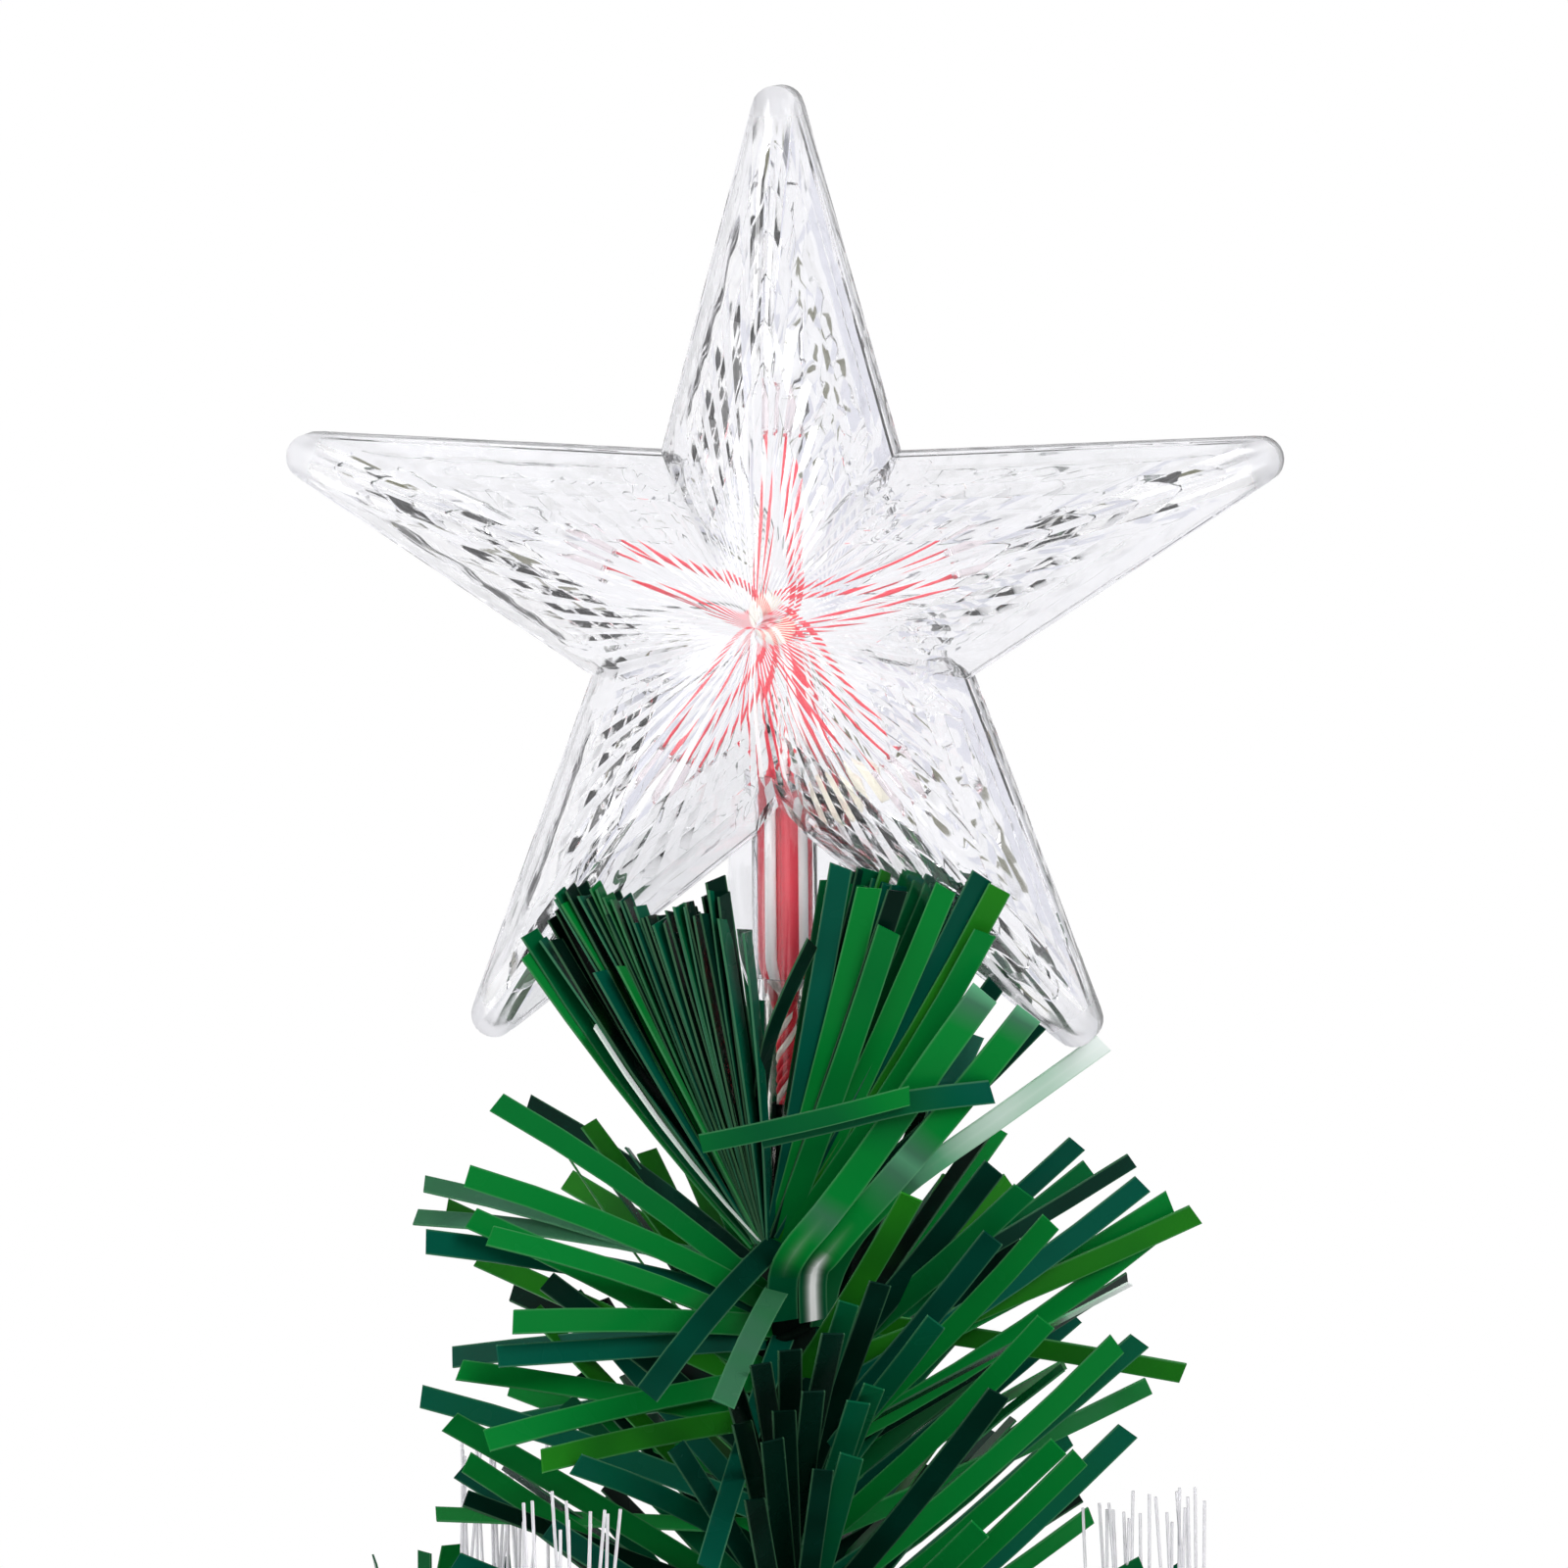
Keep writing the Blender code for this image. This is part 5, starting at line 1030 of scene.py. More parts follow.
def make_star_lamps(settings):
    """Clear lamps in the arms, their red wires and the glue that holds them at the centre."""
    lamp_mesh = mesh_of("lamp", lathe(LAMP_OUTLINE, 20))
    lamps = bmesh.new()
    lines = []
    rng = random.Random(5)
    for point in range(POINTS):
        turn = Matrix.Translation((0, 0, STAR_HEIGHT)) @ Matrix.Rotation(math.tau * point / POINTS, 4, "Y")
        copy = lamp_mesh.copy()
        copy.transform(turn)
        lamps.from_mesh(copy)
        bpy.data.meshes.remove(copy)
        for side in (-1, 1):
            points = []
            lean = rng.uniform(-0.0016, 0.0016)
            for step in range(9):
                share = step / 8
                along = 0.0020 + (0.0265 - 0.0020) * share
                bow = side * (0.0006 + 0.0005 * share) + lean * math.sin(math.pi * share)
                depth = -0.0030 * math.sin(math.pi * share) * (1 + 0.3 * side)
                points.append(turn @ Vector((bow, depth, along)))
            lines.append((points, Vector((0, 1, 0)), 0.5, 1.0))
    bpy.data.meshes.remove(lamp_mesh)
    bulbs = from_bm("star_lamps", lamps, lamp_resin())
    red = wire_insulation("red pvc insulation", linear("#EC2842"))
    leads = grow(
        "star_lamp_wires", guides("lamp wires", lines), strand_tree(), radius=settings.wire_radius,
        sides=10, material=red
    )
    glue = lathe(GLUE_OUTLINE, 24)
    bmesh.ops.rotate(glue, verts=glue.verts, matrix=Matrix.Rotation(math.pi / 2, 3, "X"))
    bmesh.ops.translate(glue, verts=glue.verts, vec=(0, 0, STAR_HEIGHT))
    lump = bmesh.ops.create_cube(glue, size=1, matrix=Matrix.Diagonal((0.0066, 0.0062, 0.0068, 1)))["verts"]
    bmesh.ops.translate(glue, verts=lump, vec=(0.0092, -0.0010, STAR_HEIGHT - 0.0266))
    sides = list({edge for vertex in lump for edge in vertex.link_edges})
    bmesh.ops.bevel(glue, geom=sides, offset=0.0014, segments=3, affect="EDGES", profile=0.6)
    blob = from_bm("star_glue", glue, hot_glue())
    settle(bulbs, "star", "lamp_resin", "star_led_cluster")
    settle(leads, "star", "red_insulation")
    settle(blob, "star", "lamp_resin")
    return red


def feed_line(place, side, front, thick):
    """One strand: straight in the pole, twisted in the tube, and spread out flat in the spout."""
    angle = math.tau * place / FEED_STRANDS
    points = [Vector((math.cos(angle), math.sin(angle), 0)) * TWIST_RADIUS + Vector((0, 0, TRUNK_FOOT))]
    widths = [1.0]
    top = STAR_HEIGHT - 0.0035
    for step in range(FEED_STEPS + 1):
        share = step / FEED_STEPS
        height = POLE_TIP_TOP + (top - POLE_TIP_TOP) * share
        turn = angle + math.tau * FEED_TURNS * min(1.0, share / TWIST_END)
        loose = min(1.0, max(0.0, (share - SPREAD_START) / SPREAD_STRETCH))
        loose = loose * loose * (3 - 2 * loose)
        close = min(1.0, max(0.0, (share - CLOSE_START) / CLOSE_STRETCH))
        twisted = Vector((math.cos(turn), math.sin(turn), 0)) * TWIST_RADIUS
        flat = Vector((side * (1 - 0.7 * close), front, 0)) / 1000
        points.append(twisted.lerp(flat, loose) + Vector((0, 0, height)))
        widths.append(1.0 + (thick - 1.0) * loose)
    return points, Vector((0, 1, 0)), 0.5, widths


def make_star_wires(settings, red):
    """Red and white wires up the pole, twisted in the clear tube and side by side in the spout."""
    white = wire_insulation("white pvc insulation", linear("#FFFDFA"))
    for name, material, slot, strands in (
        (
            "star_feed_red", red, "red_insulation",
            ((0, -3.0, -1.0, 2.0), (2, 1.15, -2.0, 3.0), (4, 3.6, -0.5, 1.1), (1, -0.35, -1.3, 1.5)),
        ),
        (
            "star_feed_white", white, "white_insulation",
            ((3, -1.65, -2.4, 1.9), (5, 2.85, -1.9, 1.7)),
        ),
    ):
        lines = [feed_line(*strand) for strand in strands]
        wire = grow(
            name, guides(name, lines), strand_tree(), radius=0.91 * settings.wire_radius, sides=12,
            material=material
        )
        settle(wire, "trunk", slot, name.replace("feed", "wire"))
    bore = STEM_RADIUS - STEM_WALL
    mouth = STAR_HEIGHT - NOTCH_RADIUS - SPOUT_LENGTH + SPOUT_SEAT_HEIGHT - 0.0002
    tube = lathe([(STEM_RADIUS, mouth), (STEM_RADIUS, STEM_FOOT), (bore, STEM_FOOT), (bore, mouth)], 40)
    settle(from_bm("stem_tube", tube, clear_pvc_tube()), "trunk", "clear_tube", "star_stem_tube")


# Camera frame, which also places the strips that the photograph shows


def camera_axes(stage):
    """Camera place, the point it looks at, and its right, up and back directions."""
    a, e = stage.azimuth, stage.elevation
    back = Vector((math.sin(a) * math.cos(e), -math.cos(a) * math.cos(e), math.sin(e)))
    target = Vector((0, 0, stage.target_height))
    right = Matrix.Rotation(-stage.roll, 3, back) @ Vector((math.cos(a), math.sin(a), 0))
    return target + back * stage.distance, target, right, back.cross(right), back


def pixel_ray(stage, x, y):
    """Start and direction of the camera's ray through a pixel of the photograph."""
    eye, _, right, up, back = camera_axes(stage)
    scale = stage.view_width / IMAGE_SIZE / stage.distance
    middle = IMAGE_SIZE / 2
    return eye, -back + right * (x - middle) * scale - up * (y - middle) * scale


def pixel_height(stage, y):
    """Height on the trunk's axis that shows at a pixel row."""
    eye, ray = pixel_ray(stage, IMAGE_SIZE / 2, y)
    flat = Vector((ray.x, ray.y))
    share = Vector((eye.x, eye.y)).length / flat.length
    return eye.z + ray.z * share


def pixel_point(stage, x, y, depth):
    """Point on a pixel's ray, a number of millimetres in front of the trunk's axis."""
    eye, ray = pixel_ray(stage, x, y)
    back = camera_axes(stage)[4]
    away = Vector((back.x, back.y, 0)).normalized()
    return eye + ray * ((depth / 1000 - eye.dot(away)) / ray.dot(away))


def reach_pixel(stage, x, y, root, length, toward):
    """Point on a pixel's ray at a length from a root, on its near or far side."""
    eye, ray = pixel_ray(stage, x, y)
    ray.normalize()
    gap = eye - root
    middle = -gap.dot(ray)
    reach = length**2 - (gap + ray * middle).length_squared
    return eye + ray * (middle - toward * math.sqrt(max(reach, 0.0)))


# Strips seen in the photograph: tip x, tip y, root y, near 1 or far -1, roll in degrees from facing
# the camera, tone, bow in millimetres. Tones from about 0.78 up give painted sheen, 0.12 to 0.16 painted
# shade
CROWN_ROOT_X = 787
CROWN_FRONT = 17
CROWN_ROW = 2.5
CROWN_STRIPS = (
    (540, 952, 1262, 1, 38, 0.39, -1.5), (540, 972, 1266, 1, 30, 0.55, -1.0),
    (567, 959, 1262, 1, 64, 0.12, -1.0), (571, 909, 1260, 1, 60, 0.36, -0.5),
    (580, 919, 1262, 1, 50, 0.52, 0.5), (592, 925, 1260, -1, 60, 0.14, 0.0),
    (607, 903, 1262, 1, 58, 0.46, 0.0), (612, 991, 1262, 1, 60, 0.28, -0.5),
    (620, 913, 1262, 1, 62, 0.41, 0.0), (626, 930, 1264, 1, 40, 0.13, 0.0),
    (634, 986, 1262, 1, 72, 0.72, 0.0), (640, 916, 1260, 1, 70, 0.15, 0.0),
    (653, 924, 1262, 1, 62, 0.30, 0.0), (664, 934, 1262, 1, 66, 0.14, 0.0),
    (673, 940, 1264, 1, 52, 0.31, 0.0), (684, 930, 1262, 1, 68, 0.15, 0.0),
    (693, 924, 1262, 1, 62, 0.36, 0.0), (703, 920, 1260, 1, 70, 0.13, 0.0),
    (722, 932, 1262, 1, 50, 0.15, 0.5), (730, 897, 1260, 1, 36, 0.12, 0.5),
    (738, 938, 1264, 1, 66, 0.31, 0.5), (762, 951, 1262, 1, 74, 0.30, 1.0),
    (607, 1047, 1264, 1, 82, 1.00, -1.0), (858, 884, 1266, 1, 12, 0.26, -1.0),
    (887, 906, 1266, 1, 8, 0.58, -1.5), (889, 888, 1262, -1, 20, 0.36, -1.0),
    (904, 889, 1262, -1, 60, 0.02, -1.0), (916, 909, 1264, 1, 25, 0.14, -1.5),
    (907, 949, 1268, 1, 10, 0.51, -1.5), (935, 886, 1264, -1, 10, 0.39, -1.5),
    (959, 891, 1262, -1, 20, 0.23, -1.5), (965, 906, 1268, 1, 5, 0.60, -2.0),
    (985, 894, 1264, -1, 15, 0.33, -1.5), (1002, 894, 1266, 1, 20, 0.25, -2.0),
    (1020, 907, 1268, 1, 15, 0.02, -2.5), (1005, 952, 1270, 1, 10, 0.53, -2.5),
    (1016, 1004, 1275, -1, 25, 0.20, -2.0), (1058, 1044, 1275, -1, 30, 0.20, -2.0)
)
# Lines that the tips of the two crown fans follow
CROWN_LEFT_TOPS = (
    (548, 964), (566, 925), (575, 908), (604, 906), (636, 918), (672, 940), (700, 925), (744, 906)
)
CROWN_RIGHT_TOPS = ((848, 893), (905, 893), (960, 896), (1018, 905))
WHORL_STRIPS = (
    (507, 1125, 1317, 1, 8, 0.52, 1.5), (539, 1127, 1312, -1, 20, 0.18, 1.5),
    (579, 1204, 1345, -1, 20, 0.02, 0.5), (477, 1200, 1325, 1, 5, 0.62, 1.5),
    (433, 1208, 1318, -1, 45, 0.78, 1.0), (424, 1242, 1300, -1, 50, 0.78, 1.0),
    (456, 1232, 1400, -1, 45, 0.02, 0.5), (481, 1243, 1397, 1, 15, 0.58, 1.0),
    (500, 1261, 1355, 1, 35, 0.64, 1.0), (435, 1267, 1330, 1, 10, 0.27, 1.0),
    (489, 1283, 1420, -1, 20, 0.02, 0.0), (523, 1317, 1440, -1, 30, 0.15, 0.0),
    (524, 1349, 1349, 1, 20, 0.58, 0.5), (462, 1385, 1362, -1, 20, 0.26, 0.5),
    (508, 1384, 1362, 1, 15, 0.29, 0.0), (469, 1398, 1450, 1, 30, 0.64, 0.5),
    (521, 1414, 1520, -1, 15, 0.62, 0.0), (430, 1425, 1545, -1, 10, 0.30, 1.0),
    (459, 1451, 1640, 1, 10, 0.53, 0.5), (497, 1470, 1402, 1, 30, 0.64, 0.5),
    (516, 1456, 1420, -1, 20, 0.33, 0.5), (553, 1491, 1440, 1, 20, 0.02, 0.5),
    (476, 1492, 1690, 1, 15, 0.58, 0.0), (470, 1500, 1700, -1, 15, 0.22, 0.0),
    (475, 1529, 1640, 1, 50, 0.14, 0.0), (445, 1545, 1560, -1, 55, 0.64, 0.0),
    (588, 1494, 1590, 1, 5, 0.31, 1.5), (690, 1476, 1640, 1, 30, 0.20, 0.0),
    (464, 1594, 1720, 1, 20, 0.28, 0.0), (560, 1560, 1700, 1, 25, 0.23, 0.0),
    (620, 1440, 1560, -1, 15, 0.36, 0.0), (640, 1380, 1480, -1, 15, 0.28, 0.0),
    (1099, 1167, 1400, -1, 20, 0.23, -1.0), (1111, 1192, 1405, -1, 20, 0.41, -1.0),
    (1014, 1192, 1415, 1, 10, 0.18, -1.0), (1045, 1216, 1397, 1, 5, 0.46, -1.0),
    (1029, 1205, 1405, -1, 30, 0.02, -1.0), (1155, 1184, 1375, -1, 40, 0.20, -1.0),
    (1166, 1208, 1431, 1, 15, 0.28, -2.0), (1194, 1226, 1416, 1, 10, 0.58, -2.0),
    (1220, 1239, 1400, -1, 25, 0.02, -1.0), (1072, 1247, 1487, 1, 5, 0.60, -1.5),
    (1013, 1263, 1480, 1, 15, 0.22, -1.0), (1180, 1256, 1481, 1, 15, 0.64, -2.5),
    (1150, 1304, 1500, -1, 60, 0.16, -1.0), (1096, 1342, 1560, -1, 20, 0.23, -1.0),
    (1067, 1349, 1573, 1, 10, 0.59, -1.5), (1140, 1371, 1634, 1, 12, 0.58, -2.0),
    (1163, 1368, 1620, -1, 20, 0.34, -2.0), (1207, 1401, 1344, -1, 30, 0.02, 0.5),
    (1172, 1414, 1570, -1, 35, 0.72, -1.0), (1019, 1422, 1653, 1, 15, 0.17, -1.0),
    (1089, 1465, 1690, -1, 15, 0.31, -1.0), (1151, 1460, 1742, -1, 15, 0.31, -1.5),
    (1080, 1476, 1677, 1, 8, 0.62, -1.5), (1102, 1487, 1735, 1, 25, 0.62, -1.0),
    (1006, 1502, 1640, -1, 30, 0.02, 0.0), (1113, 1546, 1745, -1, 40, 0.64, -1.0),
    (930, 1221, 1402, 1, 10, 0.02, -1.0), (898, 1310, 1526, 1, 15, 0.15, -1.0),
    (955, 1349, 1510, 1, 20, 0.33, -1.0), (850, 1361, 1536, 1, 25, 0.15, 0.5),
    (866, 1330, 1500, 1, 20, 0.36, 0.5), (892, 1415, 1600, 1, 20, 0.36, 0.0),
    (876, 1431, 1620, 1, 15, 0.34, 0.0), (869, 1486, 1680, 1, 12, 0.36, 0.0),
    (830, 1420, 1600, 1, 20, 0.16, 0.5), (840, 1500, 1700, 1, 20, 0.17, 0.5),
    (800, 1440, 1640, 1, 20, 0.14, 0.5), (930, 1480, 1660, -1, 10, 0.28, 0.0),
    (1000, 1560, 1720, 1, 10, 0.53, -0.5), (661, 1422, 1262, 1, 10, 0.19, 1.0),
    (738, 1432, 1300, 1, 10, 0.78, 1.0), (722, 1600, 1360, 1, 10, 0.23, 1.0),
    # The near-black strips from here on stand in front of the core, their tones painted shade of the brush's
    # inside
    (713, 1206, 1290, -1, 20, 0.02, 0.5), (776, 1392, 1560, 1, 25, 0.14, 0.0),
    (757, 1452, 1640, 1, 35, 0.12, 0.0), (788, 1470, 1660, 1, 20, 0.15, 0.0),
    (770, 1530, 1720, 1, 30, 0.13, 0.0), (744, 1402, 1590, 1, 40, 0.12, 0.0),
    (806, 1378, 1560, 1, 20, 0.13, 0.0)
)
# Bent strips: places along the strip as (x, y, millimetres in front of the axis), roll, width share,
# then the tones, which give painted sheen from about 0.78 up, and the painted highlight down the middle at
# those places
BENT_STRIPS = (
    (((715, 1167, 21), (775, 1155, 22), (850, 1138, 23), (928, 1118, 23)), 18, 0.85,
     (0.46, 0.40, 0.44, 0.62), (0, 0, 0, 0)),
    (((776, 1160, 19), (850, 1143, 20), (930, 1124, 21), (1012, 1114, 20)), 16, 1.05,
     (0.36, 0.38, 0.36, 0.28), (0, 0, 0, 0)),
    (((799, 1347, 9), (799, 1304, 13), (812, 1276, 15), (842, 1240, 16), (880, 1190, 17), (918, 1136, 18),
      (960, 1075, 20), (1005, 1013, 22)),
     10, 1.3, (0.34, 0.38, 0.66, 0.78, 0.60, 0.46, 0.60, 0.86), (0, 0, 0.1, 0, 0, 0, 0, 0)),
    (((830, 1347, 8), (830, 1300, 12), (845, 1278, 14), (872, 1246, 15), (926, 1186, 17), (990, 1109, 19),
      (1050, 1034, 21)),
     14, 1.25, (0.34, 0.38, 0.58, 0.66, 0.84, 0.50, 0.87), (2.2, 1.9, 0.1, 0, 0, 0, 0)),
    (((838, 1352, 4), (850, 1300, 7), (880, 1250, 10), (935, 1200, 10), (1020, 1140, 8), (1126, 1064, 5)),
     34, 1.1, (0.40, 0.40, 0.46, 0.84, 0.93, 0.97), (0, 0, 0, 0, 0.1, 0.1)),
    (((776, 1262, 2), (775, 1180, 4), (777, 1110, 9), (786, 1060, 14), (806, 1010, 19), (829, 962, 24)),
     52, 0.9, (0.12, 0.12, 0.13, 0.15, 0.15, 0.14), (0, 0, 0, 0, 0, 0)),
    (((800, 1495, 2), (900, 1443, 1), (1040, 1369, 0), (1090, 1343, 0), (1153, 1310, 0)),
     76, 1.0, (0.16, 0.16, 0.16, 0.90, 1.00), (0, 0, 0, 0, 0)),
)


def strip_line(stage, strip, length, crown):
    """Guide line of one strip from its place in the photograph. Crown strips fan from one spot."""
    x, y, root_y, near, roll, tone, bow = strip
    back = camera_axes(stage)[4]
    if crown:
        spot = CROWN_ROOT_X + (x - CROWN_ROOT_X) * 0.06
        root = pixel_point(stage, spot, root_y, near * 1000 * BRUSH_CORE * ROOT_SHARE)
        tip = pixel_point(stage, x, y, CROWN_FRONT + CROWN_ROW * near)
    else:
        root = Vector((0, 0, pixel_height(stage, root_y)))
        tip = reach_pixel(stage, x, y, root, length + BRUSH_CORE, near)
        outward = Vector((tip.x, tip.y, 0)).normalized()
        root += outward * BRUSH_CORE * ROOT_SHARE
    heading = (tip - root).normalized()
    facing = (back - heading * back.dot(heading)).normalized()
    flat = Matrix.Rotation(math.radians(roll), 3, heading) @ facing
    sag = Vector((0, 0, 1)) - heading * heading.z
    points = []
    for step in range(6):
        share = step / 5
        curve = 4 * share * (1 - share) * bow / 1000
        points.append(root.lerp(tip, share) + sag * curve + flat * curve * 0.5)
    return points, flat, tone, 1.0 + 0.06 * math.sin(x)


def fan_strips(tops, count, root_y, near, rolls, tones, rng):
    """Strips side by side whose tips follow a line in the photograph, from left to right."""
    strips = []
    for index in range(count):
        x = tops[0][0] + (tops[-1][0] - tops[0][0]) * (index + rng.uniform(0.1, 0.9)) / count
        for (x0, y0), (x1, y1) in zip(tops, tops[1:]):
            if x0 <= x <= x1:
                y = y0 + (y1 - y0) * (x - x0) / (x1 - x0) + rng.uniform(-4, 14)
        roll = rng.uniform(*rolls)
        strips.append((x, y, root_y, near, roll, rng.choice(tones), rng.uniform(-1.0, 0.5)))
    return strips


def bent_line(stage, bent):
    """Guide line of a strip that is folded or bowed out of line."""
    places, roll, width, tones, painted_highlights = bent
    back = camera_axes(stage)[4]
    points = [pixel_point(stage, *place) for place in places]
    fine, fine_tones, fine_painted_highlights = [], [], []
    count = len(points)
    for index in range(count - 1):
        a, b = points[max(index - 1, 0)], points[index]
        c, d = points[index + 1], points[min(index + 2, count - 1)]
        for step in range(4):
            t = step / 4
            spot = 2 * b + (c - a) * t + (2 * a - 5 * b + 4 * c - d) * t**2
            fine.append((spot + (3 * b - a - 3 * c + d) * t**3) / 2)
            fine_tones.append(tones[index] * (1 - t) + tones[index + 1] * t)
            fine_painted_highlights.append(painted_highlights[index] * (1 - t) + painted_highlights[index + 1] * t)
    fine.append(points[-1])
    fine_tones.append(tones[-1])
    fine_painted_highlights.append(painted_highlights[-1])
    flats = []
    for index, point in enumerate(fine):
        heading = (fine[min(index + 1, len(fine) - 1)] - fine[max(index - 1, 0)]).normalized()
        facing = (back - heading * back.dot(heading)).normalized()
        flats.append(Matrix.Rotation(math.radians(roll), 3, heading) @ facing)
    return fine, flats, fine_tones, width, fine_painted_highlights


def filler_lines(count, length, rng):
    """Strips all round the brush where the photograph doesn't say, thickest at the back."""
    lines = []
    for index in range(count):
        share = (index + 0.5) / count
        height = BRUSH_FOOT + (BRUSH_TOP - 0.004 - BRUSH_FOOT) * share
        azimuth = index * GOLDEN_ANGLE + rng.uniform(-0.3, 0.3)
        if height > FILL_SIDES_TOP:
            azimuth = math.pi / 2 + math.radians(10) + (index * GOLDEN_SHARE % 1 - 0.5) * math.radians(120)
        outward = Vector((math.cos(azimuth), math.sin(azimuth), 0))
        tilt = math.radians(14 + 30 * share) + rng.uniform(-0.2, 0.2)
        if height > BRUSH_TOP - FILL_STEEP:
            azimuth = math.pi / 2 + (index * GOLDEN_SHARE % 1 - 0.5) * math.radians(90)
            outward = Vector((math.cos(azimuth), math.sin(azimuth), 0))
            tilt = math.radians(56) + rng.uniform(-0.2, 0.2)
        heading = outward * math.cos(tilt) + Vector((0, 0, math.sin(tilt)))
        root = outward * BRUSH_CORE * ROOT_SHARE + Vector((0, 0, height))
        reach = length * rng.uniform(0.82, 1.0)
        up = (Vector((0, 0, 1)) - heading * heading.z).normalized()
        flat = Matrix.Rotation(rng.uniform(-0.9, 0.9), 3, heading) @ up
        bow = rng.uniform(-0.002, 0.002)
        points = []
        for step in range(5):
            along = step / 4
            points.append(root + heading * reach * along + up * bow * 4 * along * (1 - along))
        tone = rng.choice((0.02, 0.13, 0.18, 0.28, 0.36, 0.44, 0.58))
        lines.append((points, flat, tone, rng.uniform(0.92, 1.06)))
    return lines


def make_top_brush(settings, stage):
    """Brush under the star: the strips that the photograph shows and the rest of each whorl."""
    film = needle_film(settings.bright, settings.deep)
    rng = random.Random(11)
    crown = list(CROWN_STRIPS)
    # The near-black tones in the fans, most of all the left one, are painted shade
    crown += fan_strips(CROWN_LEFT_TOPS, 16, 1263, 1, (56, 76), (0.12, 0.14, 0.22, 0.30, 0.40), rng)
    crown += fan_strips(CROWN_LEFT_TOPS, 20, 1262, -1, (35, 70), (0.12, 0.14, 0.18, 0.27), rng)
    crown += fan_strips(CROWN_RIGHT_TOPS, 20, 1264, -1, (0, 35), (0.16, 0.24, 0.28, 0.40), rng)
    lines = [strip_line(stage, strip, settings.length, True) for strip in crown]
    lines += [strip_line(stage, strip, settings.length, False) for strip in WHORL_STRIPS]
    lines += [bent_line(stage, bent) for bent in BENT_STRIPS]
    lines += filler_lines(150, settings.length * 0.96, rng)
    source = guides("top needles", lines, camera_axes(stage)[4])
    brush = grow(
        "top_needles", source, strip_tree(), width=settings.width, thickness=settings.thickness,
        material=film
    )
    smooth(brush.data, math.radians(50))
    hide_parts("top_brush")
    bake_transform(brush, "trunk", "star", start=(0, 0, BRUSH_TOP + 0.006), end=(0, 0, 0.784))

    wires = []
    for side in (0, math.pi):
        points = []
        for step in range(CORE_STEPS + 1):
            height = BRUSH_FOOT - 0.002 + (BRUSH_TOP - BRUSH_FOOT) * step / CORE_STEPS
            turn = side + step * CORE_TURN
            x, y = CORE_TURNS_RADIUS * math.cos(turn), CORE_TURNS_RADIUS * math.sin(turn)
            points.append(Vector((x, y, height)))
        wires.append((points, Vector((0, 0, 1)), 0.1, 1.0))
    # Painted shade: the core is made near-black with little gloss, standing in for the shade inside the
    # brush
    dark = moulded_plastic("twisted core in painted shade", linear("#03100A"), 0.8, 0.6, 0.8, 0.04)
    dark.node_tree.nodes["Principled BSDF"].inputs["Specular IOR Level"].default_value = 0.05
    core = grow(
        "top_core_wire", guides("core wire", wires), strand_tree(), radius=0.0007, sides=8, material=dark
    )
    settle(core, "trunk", "taped_wire")
    return film


# Branches


def branch_lines(tier, azimuth):
    """Stem and twigs of one branch as lines of points in the frame."""
    reach = TIER_REACHES[tier]
    angle = TIER_ANGLES[tier]
    axis = Vector((math.cos(angle), 0, math.sin(angle)))
    upright = Vector((-axis.z, 0, axis.x))
    place = Matrix.Rotation(azimuth, 4, "Z") @ Matrix.Translation((HINGE_RADIUS, 0, TIER_HEIGHTS[tier]))

    def stem_point(share):
        """Point on the stem, which lifts toward its tip."""
        past = max(0.0, (share - 0.38) / 0.62)
        return axis * (share * reach) + upright * (TIP_LIFT * reach * past**2)

    shares = [STEM_START + (STEM_END - STEM_START) * step / 12 for step in range(13)]
    lines = [[stem_point(share) for share in shares]]
    for fork, twig in TIER_FORKS[tier]:
        root = stem_point(fork)
        heading = (stem_point(fork + 0.02) - root).normalized()
        for side in (-1, 1):
            turn = Matrix.Rotation(side * FORK_ANGLE, 3, upright)
            way = (turn @ heading + upright * FORK_LIFT).normalized()
            length = twig * reach * 0.80
            lines.append([root + way * length * step / 6 for step in range(7)])
    return [[place @ point for point in line] for line in lines]


def fibre_lines(stem, count, places, lean_range, sway_range, rng, tops=None):
    """Fibres that leave one stem and curve up past the needles, some to a given height."""
    lines = []
    rise = 1.6 if tops else 0.35
    for _ in range(count):
        share = rng.uniform(*places)
        spot = share * (len(stem) - 1)
        index = min(int(spot), len(stem) - 2)
        root = stem[index].lerp(stem[index + 1], spot - index)
        along = (stem[index + 1] - stem[index]).normalized()
        level = Vector((along.x, along.y, 0)).normalized()
        side = level.cross(Vector((0, 0, 1)))
        lean = rng.uniform(*lean_range)
        sway = rng.uniform(*sway_range)
        end_way = (level * lean + side * sway + Vector((0, 0, 1))).normalized()
        length = rng.uniform(0.044, 0.058)
        points, spot, way = [], root, (along + Vector((0, 0, rise))).normalized()
        for step in range(7):
            points.append(spot)
            blend = min(1.0, step / 3)
            spot = spot + way.lerp(end_way, blend).normalized() * length / 6
        if tops:
            level_top = tops[0] + (tops[1] - tops[0]) * share + rng.uniform(-0.003, 0.002)
            grown = (level_top - root.z) / (points[-1].z - root.z)
            points = [root + (point - root) * grown for point in points]
        lines.append((points, side, 0.5, 1.0))
    return lines


